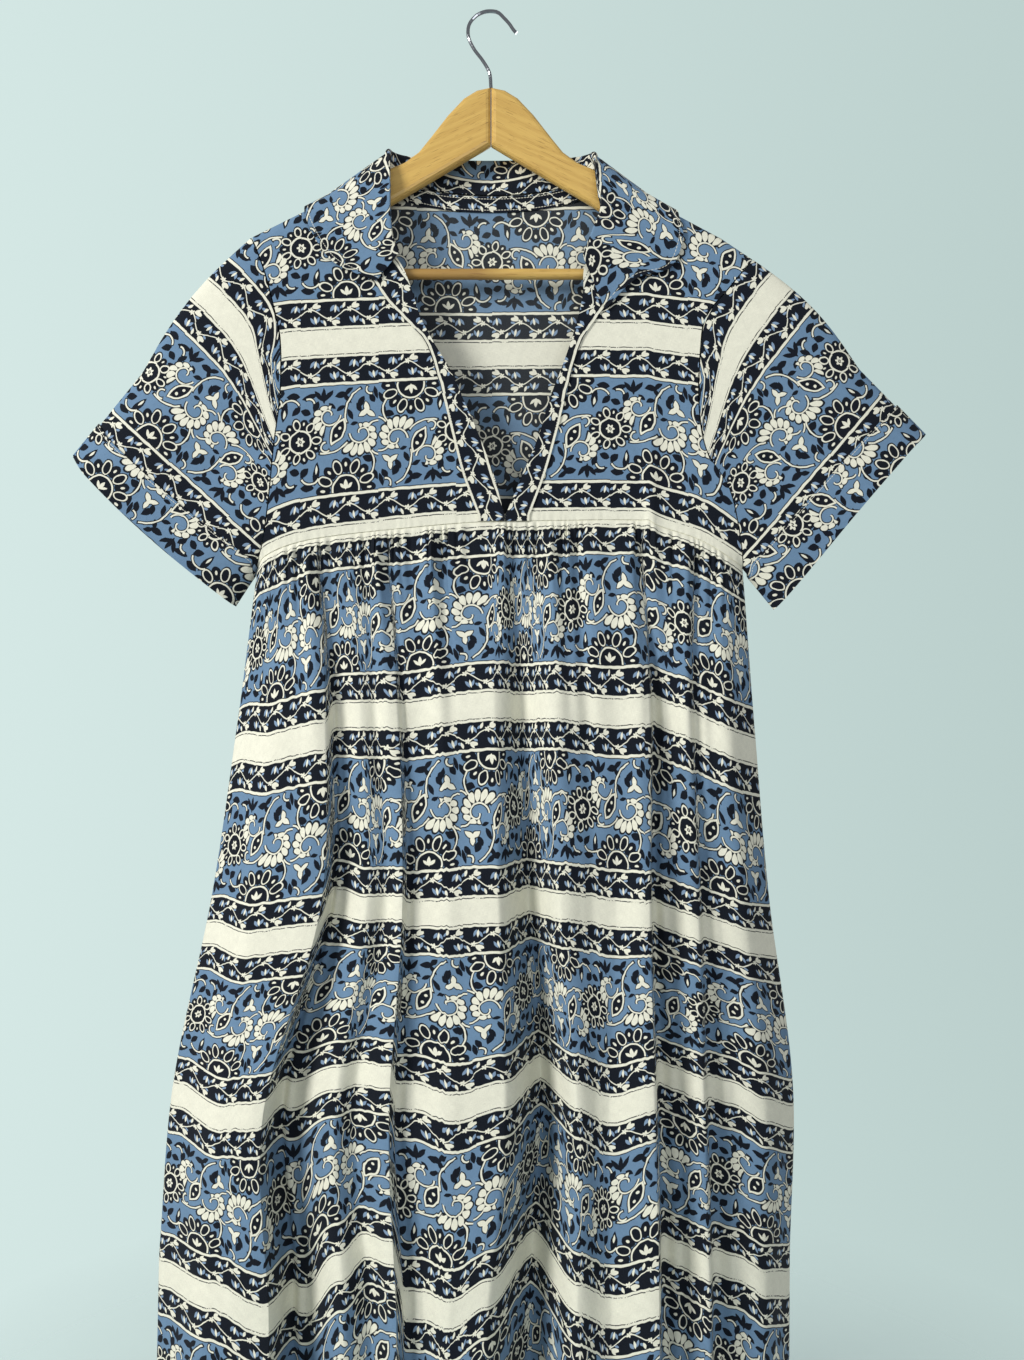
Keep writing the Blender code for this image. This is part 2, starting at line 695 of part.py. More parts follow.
def hanger_arm(name, hand):
    """One arm, a flat outline with rounded edges, bowed forward to its end."""
    shoulder = [(x, ridge(x) + WALL / 2 + REST_GAP) for x in (-104, -140, -175, -200)]
    outline = [*ARM_TOP, *shoulder, *ARM_END, *ARM_LOWER]
    curve = bpy.data.curves.new(name, "CURVE")
    curve.dimensions = "2D"
    curve.fill_mode = "BOTH"
    curve.extrude = (ARM_THICKNESS / 2 - ARM_BEVEL) * MM
    curve.bevel_depth = ARM_BEVEL * MM
    curve.bevel_resolution = 2
    curve.offset = -ARM_BEVEL * MM
    spline = curve.splines.new("POLY")
    spline.points.add(len(outline) - 1)
    for point, (x, drop) in zip(spline.points, outline):
        if hand > 0 and -300 < x < -101:
            drop += ridge(-x) - ridge(x)
        shift = -0.15 if x == 0 else 0.0
        point.co = (-hand * (x + shift) * MM, -drop * MM, 0, 1)
    spline.use_cyclic_u = True
    mesh = curve_mesh(curve)
    for vertex in mesh.vertices:
        x, up, thick = vertex.co
        vertex.co = (x, bow(x / MM) * MM - thick, up)
    work = bmesh.new()
    work.from_mesh(mesh)
    bmesh.ops.recalc_face_normals(work, faces=work.faces)
    work.to_mesh(mesh)
    work.free()
    mesh.shade_smooth()
    mesh.set_sharp_from_angle(angle=math.radians(50))
    return finish(name, mesh, WOOD_MATERIAL)


def hanger_bar():
    """The round bar between the ends of the arms."""
    bpy.ops.mesh.primitive_cylinder_add(
        vertices=20,
        radius=BAR_DIAMETER / 2 * MM,
        depth=2 * (BAR_END - 0.3) * MM,
        location=(0, bow(BAR_END) * MM, -BAR_DROP * MM),
        rotation=(0, math.radians(90), 0),
    )
    bar = bpy.context.active_object
    bar.name = "hanger_bar"
    bar.data.shade_smooth()
    bar.data.set_sharp_from_angle(angle=math.radians(50))
    bar.data.materials.append(WOOD_MATERIAL)
    for owner in list(bar.users_collection):
        owner.objects.unlink(bar)
    PARTS.objects.link(bar)


def hook():
    """Bent wire, from the top of the wood over the crown to its rounded end."""
    curve = bpy.data.curves.new("hanger_hook", "CURVE")
    curve.dimensions = "3D"
    curve.bevel_depth = WIRE / 2 * MM
    curve.bevel_resolution = 2
    curve.use_fill_caps = True
    steps = 40
    spline = curve.splines.new("POLY")
    spline.points.add(steps)
    for n, point in enumerate(spline.points):
        x, drop = read_line(HOOK, n / steps)
        point.co = (x * MM, 0, -drop * MM, 1)
    mesh = curve_mesh(curve)
    mesh.shade_smooth()
    finish("hanger_hook", mesh, STEEL_MATERIAL)


def main():
    bodice()
    placket("placket_left", -1)
    placket("placket_right", 1)
    neck_strip()
    collar()
    sleeve("sleeve_left", -1)
    sleeve("sleeve_right", 1)
    cuff("cuff_left", -1)
    cuff("cuff_right", 1)
    skirt("skirt_front", FRONT_FOLDS, -1)
    skirt("skirt_back", BACK_FOLDS, 1)
    hanger_arm("hanger_arm_left", -1)
    hanger_arm("hanger_arm_right", 1)
    hanger_bar()
    hook()


for old in list(bpy.data.objects):
    bpy.data.objects.remove(old)
PARTS = bpy.data.collections.new("midi_dress_on_hanger")
bpy.context.scene.collection.children.link(PARTS)
CLOTH_MATERIAL = material("printed_cotton", (0.15, 0.26, 0.52), 0.85)
WOOD_MATERIAL = material("honey_wood", (0.58, 0.35, 0.09), 0.4)
STEEL_MATERIAL = material("bright_steel", (0.8, 0.8, 0.82), 0.15, 1.0)
main()
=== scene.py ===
# %% [markdown]
# # A block-printed midi dress on a wooden hanger
#
# The dress is cotton voile, hand block-printed in indigo, navy and cream, and it hangs still from a
# wooden hanger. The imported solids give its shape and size. This lesson dresses them: it makes every
# panel again as a thin, finely folded sheet, prints it with nodes, and finishes the wood and the wire.

import math

import bpy
import numpy as np
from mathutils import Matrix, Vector


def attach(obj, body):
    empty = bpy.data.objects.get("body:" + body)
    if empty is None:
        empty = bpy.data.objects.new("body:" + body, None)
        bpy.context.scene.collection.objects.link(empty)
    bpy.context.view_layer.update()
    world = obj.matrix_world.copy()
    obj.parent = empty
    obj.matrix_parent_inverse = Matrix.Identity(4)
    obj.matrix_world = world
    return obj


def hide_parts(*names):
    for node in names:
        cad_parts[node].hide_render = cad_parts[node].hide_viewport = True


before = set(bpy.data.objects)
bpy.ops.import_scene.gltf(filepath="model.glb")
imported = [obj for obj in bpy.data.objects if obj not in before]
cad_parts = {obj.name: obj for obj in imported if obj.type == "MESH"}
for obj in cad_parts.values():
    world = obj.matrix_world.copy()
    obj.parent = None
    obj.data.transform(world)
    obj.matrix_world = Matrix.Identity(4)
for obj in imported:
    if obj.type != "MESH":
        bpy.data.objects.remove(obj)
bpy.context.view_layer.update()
MM = 0.001

# %% [markdown]
# ## The camera
#
# The photo is taken straight on from about a metre away, level with the ribs of the dress. A long
# row of measurements agrees with an eye 1030 mm in front of the hanger, 21 mm to the right of the
# hook and 667 mm below it, so the camera stands there and needs no shift.

# %% Camera
EYE_DISTANCE = 1.030
FRAME_HEIGHT = 1.360
SENSOR = 36.0


def add_camera():
    data = bpy.data.cameras.new("photo_camera")
    data.sensor_fit = "VERTICAL"
    data.sensor_height = SENSOR
    data.lens = SENSOR * EYE_DISTANCE / FRAME_HEIGHT
    data.clip_start = 0.01
    data.clip_end = 50
    camera = bpy.data.objects.new("photo_camera", data)
    camera.location = (0.021, -EYE_DISTANCE, -0.667)
    camera.rotation_euler = (math.radians(90), 0, 0)
    bpy.context.scene.collection.objects.link(camera)
    bpy.context.scene.camera = camera
    return camera


camera = add_camera()
print("lens", round(camera.data.lens, 2), "mm")

# %% [markdown]
# ## The shape of the dress
#
# The tables and functions here are those of the solids, in millimetres. "Drop" is the distance below
# the inside of the hook. A sheet in Blender is only a grid of points, so each panel needs one
# function that says where a place on the panel hangs. Keeping the functions of the solids means that
# the fine cloth can't drift away from them.

# %% Measures and tables of the solids
WALL = 1.2
SEAM_GAP = 0.5
UNDERARM_GAP = 0.9
NECK_GAP = 1.3
TUCKED_IN = 2.0
LAYER = 1.7
FOLD_RADIUS = 2.0
RIDGE_RADIUS = 8.5
FULLNESS = 9.5
FULL_DROP = 300.0
NECK_DROP = 158.5
UNDERARM_DROP = 556.0
V_DROP = 511.0
HEM_DROP = 1410.0
BOW = 8.0
REST_GAP = 0.35
GATHERS = 56
GATHER_HEIGHT = 4.0

RIDGE = (
    (-275, 271), (-256, 247), (-235, 230), (-181, 201), (-104, 158.5), (0, 105),
    (104, 158.5), (180, 204), (227, 231), (258, 253), (277, 276),
)
ARMHOLE_LEFT = (
    (-235, 230), (-222, 263), (-211, 304), (-205, 335), (-205, 388), (-211, 439),
    (-216, 491), (-222, 530), (-230, UNDERARM_DROP),
)
ARMHOLE_RIGHT = (
    (258, 253), (233, 283), (210, 312), (205, 340), (203, 397), (210, 442),
    (232, 480), (243, 526), (248, UNDERARM_DROP),
)
SLEEVE_HEM_LEFT = ((-406, 449), (-392, 469), (-332, 528), (-254, 593))
SLEEVE_HEM_RIGHT = ((423, 429), (404, 448), (350, 511), (281, 596))

# drop, then x of the fold and of the facing's free edge, left and right
NECK_V = (
    (158.5, -106, -116, 106, 116),
    (185, -108, -122, 110, 124),
    (212, -107, -124, 110.5, 130),
    (237, -101, -120, 105, 128),
    (262, -86, -110, 92, 120),
    (285, -77, -98, 91, 113),
    (310, -69, -81, 86, 101),
    (337, -55, -63, 78, 88),
    (360, -41, -55, 70, 81),
    (391, -27, -46, 58, 73),
    (428, -11, -37, 47, 64),
    (466, 3, -27, 31, 53),
    (506, 13.6, -12, 14.4, 38),
)
YOKE = (
    (-230, UNDERARM_DROP), (-222, 546), (-194, 534), (-162, 527), (-96, 519), (-20, 512),
    (38, 510.5), (153, 510.5), (161, 515), (206, 531), (248, UNDERARM_DROP),
)
BACK_YOKE = (
    (-230, UNDERARM_DROP), (-222, 546), (-194, 534), (-162, 527), (-96, 519), (-20, 513),
    (38, 511.5), (110, 514), (170, 522), (218, 538), (248, UNDERARM_DROP),
)
BACK_NECK = (
    (-106, 159.5), (-104, 158.9), (-102.5, 158.6), (-99, 160.5), (-94, 164), (-84, 168),
    (-45, 175), (0, 177), (45, 175), (84, 168), (94, 164), (99, 160.5), (102.5, 158.6),
    (104, 158.9), (106, 159.6),
)

# neck x, drop, roll x, y, drop, edge x, drop, side
COLLAR = (
    (-99.5, 246, -90, -21, 247, -112, 276, -1),
    (-104, 233, -96, -22, 232, -134, 268, -1),
    (-106.5, 212, -98.5, -21, 205, -155, 257, -1),
    (-107.5, 190, -99, -18, 178, -169, 239, -1),
    (-106, 168, -100, -12, 153, -180, 217, -1),
    (-104.5, 157, -100, -2, 139, -183, 200, 0),
    (-100, 163, -98, 9, 137, -168, 214, 1),
    (-84, 167, -84, 17, 137, -128, 219, 1),
    (-45, 174, -46, 22, 138, -66, 208, 1),
    (0, 176, 0, 24, 138, 0, 204, 1),
    (45, 174, 46, 22, 138, 66, 210, 1),
    (84, 167, 84, 17, 138, 128, 221, 1),
    (101, 163, 98, 9, 139, 170, 218, 1),
    (104.5, 157, 101, -2, 142, 181, 203, 0),
    (107, 168, 103, -12, 156, 186, 218, -1),
    (109, 190, 105, -18, 180, 188, 236, -1),
    (111, 212, 108, -21, 205, 176, 264, -1),
    (106, 233, 99, -22, 230, 143, 274, -1),
    (98, 250, 91, -22, 252, 112, 304, -1),
)
FOLD_LEVELS = (556, 706, 880, 1070, 1240)
# a sharp fold drops in this first part of the way to the next line
STEP_SHARE = 0.25

# x at each of FOLD_LEVELS, and how proud the fold stands above and below
FRONT_FOLDS = {
    "left_side": (-229, -250, -277, -317, -331, 0.0, 0.0),
    "left_roll": (-207, -209, -222, -248, -262, 0.85, 0.75),
    "left_edge": (-169, -156, -158, -209, -201, 1.0, 0.85),
    "left_step": (-158, -145, -146, -190, -178, 0.45, 0.15, "sharp"),
    "second": (-141, -124, -116, -143, -133, 0.8, 0.8),
    "second_step": (-117, -107, -97, -125, -110, 0.62, 0.6),
    "third": (-101, -88, -82, -92, -84, 0.85, 0.95),
    "third_step": (-89, -77, -69, -74, -62, 0.6, 0.7, "sharp"),
    "centre_plate": (-45, -34, -28, -30, -34, 0.85, 0.95),
    "centre_edge": (-3, 4, 8, 14, -2, 1.0, 1.0),
    "main_valley": (24, 31, 37, 49, 39, 0.1, 0.0),
    "right_edge": (53, 58, 67, 81, 80, 0.95, 0.95),
    "right_crease": (108, 118, 119, 111, 112, 0.7, 0.72),
    "right_plate": (147, 153, 150, 152, 154, 0.95, 1.0),
    "right_step": (165, 171, 170, 178, 180, 0.25, 0.5, "sharp"),
    "outer": (196, 193, 198, 200, 203, 0.6, 0.8),
    "outer_step": (214, 212, 221, 231, 234, 0.4, 0.45, "sharp"),
    "right_roll": (231, 232, 244, 262, 262, 0.6, 0.65),
    "right_side": (247.5, 260, 276, 301, 298, 0.0, 0.0),
}
BACK_FOLDS = {
    "left_side": (-229, -250, -277, -317, -331, 0.3, 0.3),
    "left_roll": (-200, -213, -232, -262, -274, 0.9, 0.8),
    "left_dip": (-171, -180, -190, -214, -226, 0.2, 0.3),
    "left_fold": (-140, -143, -150, -168, -172, 0.8, 1.0),
    "left_inner_dip": (-108, -110, -112, -118, -124, 0.2, 0.0),
    "centre_left_fold": (-72, -73, -74, -74, -70, 0.9, 0.9),
    "centre_left_dip": (-38, -38, -36, -26, -22, 0.3, 0.35),
    "centre_fold": (-4, -3, 2, 16, 22, 0.7, 1.0),
    "centre_dip": (30, 32, 38, 50, 58, 0.1, 0.1),
    "centre_right_fold": (66, 72, 76, 92, 96, 1.0, 0.85),
    "right_inner_dip": (100, 106, 112, 126, 134, 0.3, 0.0),
    "right_fold": (134, 141, 150, 166, 172, 0.8, 1.0),
    "right_dip": (168, 176, 188, 204, 210, 0.2, 0.4),
    "right_roll": (208, 219, 234, 252, 256, 0.9, 0.75),
    "right_side": (247.5, 260, 276, 301, 298, 0.3, 0.3),
}

# drop, then valley and fold height in front, valley and fold height behind
DEPTHS = (
    (510, 15, 4, 15, 3),
    (706, 22, 26, 15, 8),
    (880, 27, 44, 14, 12),
    (1070, 32, 60, 13, 16),
    (1240, 36, 68, 12, 19),
    (HEM_DROP, 38, 72, 12, 20),
)
print("tables:", len(FRONT_FOLDS), "front folds,", len(BACK_FOLDS), "back folds")

# %% Curves through the tables


def clamp(value, low=0.0, high=1.0):
    return max(low, min(high, value))


def smooth(value):
    value = clamp(value)
    return value * value * (3 - 2 * value)


def read(table, key, column=1):
    """A smooth curve through one column of a table, read at a value of its first column."""
    if key <= table[0][0]:
        return table[0][column]
    if key >= table[-1][0]:
        return table[-1][column]
    last = len(table) - 1
    i = max(n for n in range(last) if table[n][0] <= key)
    low, high = table[i], table[i + 1]
    width = high[0] - low[0]

    def slope(n):
        before, after = table[max(n - 1, 0)], table[min(n + 1, last)]
        return (after[column] - before[column]) / (after[0] - before[0]) * width

    u = (key - low[0]) / width
    a, b = low[column], high[column]
    rise = u * (1 - u) * ((1 - u) * (slope(i) - (b - a)) - u * (slope(i + 1) - (b - a)))
    return a + (b - a) * u + rise


def read_line(points, place):
    """A smooth line through points, read at a place from 0 to 1 along its length."""
    marks = [0.0]
    for a, b in zip(points, points[1:]):
        marks.append(marks[-1] + math.dist(a, b))
    table = [(mark / marks[-1], *point) for mark, point in zip(marks, points)]
    return [read(table, place, column + 1) for column in range(len(points[0]))]


def ridge(x):
    """Drop of the shoulder line, straight from point to point along the wood."""
    for (x0, drop0), (x1, drop1) in zip(RIDGE, RIDGE[1:]):
        if x <= x1:
            break
    return drop0 + (drop1 - drop0) * clamp((x - x0) / (x1 - x0))


def yoke(x, side):
    """Drop of the gathered seam, front (-1) or back (1)."""
    return read(YOKE if side < 0 else BACK_YOKE, x)


def bow(x):
    """How far forward the hanger's plane has come at this x."""
    reach = abs(x) / 210
    return -BOW * (reach * reach if reach < 1 else 2 * reach - 1)


print("shoulder at x 150:", round(ridge(150), 1), "mm down")

# %% Shape of the bodice


def half_depth(x, drop):
    """How far the bodice stands from the hanger's plane, front or back."""
    down = max(drop - ridge(x), 0)
    turn = min(down, RIDGE_RADIUS)
    depth = math.sqrt(turn * (2 * RIDGE_RADIUS - turn))
    depth += FULLNESS * math.sqrt(clamp((down - RIDGE_RADIUS) / FULL_DROP))
    for corner in (ARMHOLE_LEFT[-1], ARMHOLE_RIGHT[-1]):
        near = clamp(math.hypot(x - corner[0], 0.6 * (drop - corner[1])) / 90)
        depth *= math.sqrt(1 - (1 - near) ** 4)
    return 0.15 + 0.6 * clamp(down / RIDGE_RADIUS) + depth


def tuck(x, drop):
    """The small upright fold on the right front."""
    return 3.5 * math.exp(-(((x - 157) / 7) ** 2)) * smooth((drop - 350) / 150)


def on_bodice(x, drop, side, out=0.0):
    """A point on the front (side -1) or back (side 1), moved out by a layer."""
    depth = half_depth(x, drop) + out
    if side < 0:
        depth += tuck(x, drop)
    return (x, bow(x) + side * depth, -drop)


def coons(left, right, top, bottom, s, t):
    """A point inside four edges, each a function of its place from 0 to 1."""
    a, b, c, d = left(t), right(t), top(s), bottom(s)
    corners = (left(0), right(0), left(1), right(1))
    point = []
    for k in range(2):
        across = (1 - s) * a[k] + s * b[k]
        down = (1 - t) * c[k] + t * d[k]
        both = (1 - t) * ((1 - s) * corners[0][k] + s * corners[1][k])
        both += t * ((1 - s) * corners[2][k] + s * corners[3][k])
        point.append(across + down - both)
    return point


def neck_edge(hand, t):
    """The fold of the neck and V on one hand (-1 left, 1 right), from shoulder to seam."""
    column = 1 if hand < 0 else 3
    drop = NECK_DROP + t * (V_DROP - NECK_DROP)
    return (read(NECK_V, drop, column), drop)


def front_place(hand, s, t):
    """Across (0 armhole, 1 neck fold) and down one front: its x and drop."""
    armhole = ARMHOLE_LEFT if hand < 0 else ARMHOLE_RIGHT
    neck_x = neck_edge(hand, 0)[0]
    shoulder_x = armhole[0][0]
    corner_x = armhole[-1][0]
    end_x = neck_edge(hand, 1)[0]

    def top(s):
        x = shoulder_x + s * (neck_x - shoulder_x)
        return (x, ridge(x))

    def bottom(s):
        x = corner_x + s * (end_x - corner_x)
        return (x, yoke(x, -1))

    return coons(
        lambda t: read_line(armhole, t), lambda t: neck_edge(hand, t), top, bottom, s, t
    )


def back_place(s, t):
    """Across (0 left armhole, 1 right armhole) and down the back: its x and drop."""
    first, last = ARMHOLE_LEFT[0][0], ARMHOLE_RIGHT[0][0]
    low_first, low_last = ARMHOLE_LEFT[-1][0], ARMHOLE_RIGHT[-1][0]

    def top(s):
        x = first + s * (last - first)
        inside = BACK_NECK[0][0] < x < BACK_NECK[-1][0]
        return (x, read(BACK_NECK, x) if inside else ridge(x))

    def bottom(s):
        x = low_first + s * (low_last - low_first)
        return (x, yoke(x, 1))

    return coons(
        lambda t: read_line(ARMHOLE_LEFT, t),
        lambda t: read_line(ARMHOLE_RIGHT, t),
        top,
        bottom,
        s,
        t,
    )


print("bodice depth at the middle of the left front:", round(half_depth(-120, 380), 1), "mm")

# %% Shape of the sleeves


def sleeve_line(hand, q):
    """Where the line round-place q starts at the armhole and ends at the hem."""
    armhole = ARMHOLE_LEFT if hand < 0 else ARMHOLE_RIGHT
    hem = SLEEVE_HEM_LEFT if hand < 0 else SLEEVE_HEM_RIGHT
    return read_line(armhole, q), read_line(hem, q)


def sleeve_point(hand, q, v, side, out=0.0):
    """Round (q 0 top fold, 1 bottom fold) and along (v 0 armhole, 1 hem) a sleeve."""
    if out:
        return moved_out(lambda q, v: sleeve_point(hand, q, v, side), q, v, side, out)
    start, end = sleeve_line(hand, q)
    length = math.dist(start, end)
    v = SEAM_GAP / length + v * (1 - SEAM_GAP / length)
    bulge = 9 * math.sin(math.pi * clamp(v / 0.62)) * (1 - q) ** 2
    along = [(b - a) / length for a, b in zip(start, end)]
    x = start[0] + v * (end[0] - start[0]) + abs(along[1]) * hand * bulge
    x += hand * UNDERARM_GAP * (1 - v)
    drop = start[1] + v * (end[1] - start[1]) - abs(along[0]) * bulge
    round_length = (1 - v) * 340 + v * 215
    from_fold = min(q, 1 - q) * round_length
    fold = min(from_fold, FOLD_RADIUS)
    rounded = math.sqrt(fold * (2 * FOLD_RADIUS - fold))
    lens = 15 * math.sqrt(1 - abs(2 * q - 1) ** 3)
    crease = 2.5 * math.sin(math.pi * v) * math.sin(7 * q + 2.2 * v) * min(q, 1 - q) * 2
    depth = (1 - v) * half_depth(*start) + v * lens + crease
    depth = rounded if from_fold <= FOLD_RADIUS else max(depth, FOLD_RADIUS)
    return (x, bow(x) + side * depth, -drop)


def moved_out(point_at, q, v, side, out):
    """A sleeve's point moved out square to its surface, or off its top or bottom fold."""
    here = Vector(point_at(q, v))
    step = 0.002
    along = Vector(point_at(q, min(v + step, 1))) - Vector(point_at(q, max(v - step, 0)))
    if q in (0, 1):
        away = along.cross(Vector((0, 1, 0))).normalized()
        up = 1 if q == 0 else -1
        return here + away * (out if away.z * up > 0 else -out)
    around = Vector(point_at(min(q + step, 1), v)) - Vector(point_at(max(q - step, 0), v))
    away = along.cross(around).normalized()
    return here + away * (out if away.y * side > 0 else -out)


print("left sleeve, top fold:", [round(a) for a in sleeve_point(-1, 0, 0.5, -1)])

# %% Shape of the skirt
FOLDS_AT = {}


def fold_lines(folds, drop):
    """Each fold's x and how proud it stands, at a drop."""
    key = (len(folds), round(drop * 2))
    if key in FOLDS_AT:
        return FOLDS_AT[key]
    last = FOLD_LEVELS[-1]
    found = []
    for row in folds.values():
        table = [(level, row[n]) for n, level in enumerate(FOLD_LEVELS)]
        x = read(table, drop)
        if drop > last:
            x += 0.25 * (row[4] - row[3]) * (drop - last) / (last - FOLD_LEVELS[-2])
        proud = row[5] + (row[6] - row[5]) * smooth((drop - 700) / 500)
        found.append((x, proud, len(row) > 7))
    FOLDS_AT[key] = found
    return found


print("main valley at the hem, x:", round(fold_lines(FRONT_FOLDS, HEM_DROP)[10][0]), "mm")

# %% A place on the skirt


def skirt_point(folds, side, c, r):
    """Across (c, 0 to 1 over the folds) and down (r, 0 seam to 1 hem) one skirt panel."""
    top_lines = fold_lines(folds, FOLD_LEVELS[0])
    place = c * (len(top_lines) - 1)
    i = min(int(place), len(top_lines) - 2)
    u = place - i
    top_x = top_lines[i][0] * (1 - u) + top_lines[i + 1][0] * u
    seam_drop = yoke(top_x, side)
    top_drop = seam_drop - TUCKED_IN
    drop = top_drop + r * (HEM_DROP - top_drop)
    lines = fold_lines(folds, drop)
    x = lines[i][0] * (1 - u) + lines[i + 1][0] * u
    fall = 0.25 * u + 0.75 * smooth(u)
    if lines[i + 1][2]:
        fall = 0.85 * smooth(u / STEP_SHARE) + 0.15 * u + 0.25 * math.sin(math.pi * clamp(u / 0.9)) ** 2
    proud = lines[i][1] + (lines[i + 1][1] - lines[i][1]) * fall
    left, right = lines[0][0], lines[-1][0]
    across = clamp((x - left) / (right - left))
    lens = math.sqrt(max(1 - abs(2 * across - 1) ** 5, 0))
    valley, height = (1, 2) if side < 0 else (3, 4)
    full = lens * (read(DEPTHS, drop, valley) + proud * read(DEPTHS, drop, height))
    seam = half_depth(top_x, seam_drop) + (tuck(top_x, drop) if side < 0 else 0)
    down = drop - seam_drop
    depth = seam + (full - seam) * smooth(down / 170)
    edge = smooth(min(across, 1 - across) * 14)
    depth += gathered((top_x - top_lines[0][0]) / (top_lines[-1][0] - top_lines[0][0]), down, edge)
    depth += creased(x, drop) * edge * smooth((down - 60) / 200)
    plane = bow(x) * (1 - smooth(down / 500))
    return (x, plane + side * max(depth, 0.75), -drop)


# %% Gathers and creases


def gathered(place, down, edge):
    """Height of the gathers under the seam: sharp small ones, then softer wide ones."""
    tucked = -1.5 * smooth(1 - (down + 0.5) / 3)
    turn = math.pi * GATHERS * place + 2.6 * math.sin(21 * place) + 1.7 * math.sin(47 * place + 1)
    small = abs(math.sin(turn)) - 0.6
    small += 0.35 * math.sin(turn * 2.7 + 2.1 * math.sin(31 * place))
    start = 0.25 * smooth(down / 3) + 0.75 * smooth(down / 14)
    height = GATHER_HEIGHT * start * math.exp(-down / 34) * small
    height += 1.4 * smooth(down / 9) * math.exp(-down / 55)
    wide = math.sin(turn * 0.62 + 1.2 * math.sin(9 * place)) * math.exp(-down / 140)
    longer = math.sin(turn * 0.29 + 2.0) * math.exp(-down / 260)
    height += edge * smooth(down / 25) * (3.2 * wide + 4.0 * longer)
    return tucked + height * (0.3 + 0.7 * edge)


def creased(x, drop):
    """Small slanting creases where the long folds pull the cloth."""
    a = math.sin(x / 17 + drop / 43) * math.sin(drop / 61 + x / 90 + 1.7)
    b = math.sin(x / 31 - drop / 57 + 0.6) * math.sin(drop / 97 - 0.4)
    return 1.5 * a + 1.8 * b


print("skirt hem, middle:", [round(a) for a in skirt_point(FRONT_FOLDS, -1, 0.5, 1)])

# %% Shape of the collar
# the roll starts and ends at these parts of the way from seam to edge
ROLL_START, ROLL_END = 0.3, 0.42
ROLL_OUT = 2.6


def clear_of_bodice(x, y, z, clear):
    """The point, pushed out until it lies clear of the shoulder and the panels."""
    drop = -z
    plane = bow(x)
    centre = ridge(x) + RIDGE_RADIUS
    rise, aside = centre - drop, y - plane
    if rise > 0:
        reach = math.hypot(rise, aside)
        need = RIDGE_RADIUS + clear
        if reach < need:
            aside, rise = aside * need / reach, rise * need / reach
        return (x, plane + aside, rise - centre)
    side = -1 if aside < 0 else 1
    need = half_depth(x, drop) + clear + (tuck(x, drop) if side < 0 else 0)
    return (x, plane + side * max(abs(aside), need), z)


def collar_point(place, v):
    """Round the neck (0 left front to 1 right front) and from seam (0) over to edge (1)."""
    rows = [(n / (len(COLLAR) - 1), *row) for n, row in enumerate(COLLAR)]
    neck_x, neck_drop, roll_x, roll_y, roll_drop, edge_x, edge_drop, side = (
        read(rows, place, column) for column in range(1, 9)
    )
    side = clamp(side, -1, 1)
    if side < 0:
        hand = -1 if neck_x < 0 else 1
        edge = read(NECK_V, neck_drop, 1 if hand < 0 else 3)
        neck_x = hand * min(abs(neck_x), abs(edge) - NECK_GAP)
    else:
        neck_drop = min(neck_drop, read(BACK_NECK, neck_x) - NECK_GAP)
    neck_y = bow(neck_x) + side * half_depth(neck_x, neck_drop)
    neck_x, neck_y, up = clear_of_bodice(neck_x, neck_y, -neck_drop, REST_GAP)
    neck_drop = -up
    if v <= ROLL_START:
        u = v / ROLL_START
        x = neck_x + u * (roll_x - neck_x)
        y = neck_y + u * (roll_y - side * ROLL_OUT - neck_y)
        drop = neck_drop + u * (roll_drop + 3 - neck_drop)
        return (x, y, -drop)
    outward = -1 if roll_x < 0 else 1
    flat = 1 - abs(side)
    if v <= ROLL_END:
        angle = math.pi * (v - ROLL_START) / (ROLL_END - ROLL_START)
        y = roll_y - side * ROLL_OUT * math.cos(angle)
        x = roll_x + outward * flat * ROLL_OUT * (1 - math.cos(angle))
        return (x, y, -(roll_drop + 3 - 4.5 * math.sin(angle)))
    u = (v - ROLL_END) / (1 - ROLL_END)
    start_x = roll_x + outward * flat * ROLL_OUT * 2
    x = start_x + u * (edge_x - start_x)
    y = roll_y + side * ROLL_OUT
    edge_y = bow(edge_x) + side * (half_depth(edge_x, edge_drop) + 2 * LAYER + 0.6)
    y = y + u * (edge_y - y)
    drop = roll_drop + 3 + u * (edge_drop - roll_drop - 3)
    return clear_of_bodice(x, y, -drop, 2 * LAYER + 1.2)


print("collar edge, middle back:", [round(a) for a in collar_point(0.5, 1)])

# %% [markdown]
# ## Shapes from maths nodes
#
# A block print is flat shapes of ink with clean edges. Shader nodes can draw such shapes if each one
# gives the distance to its edge, negative inside: the smallest of several distances is all of the
# shapes together. The small class below writes maths nodes as short calls, so that a shape reads
# like a line on a cutting list. Every length in the print is in millimetres of flat cloth.

# %% Ink shapes


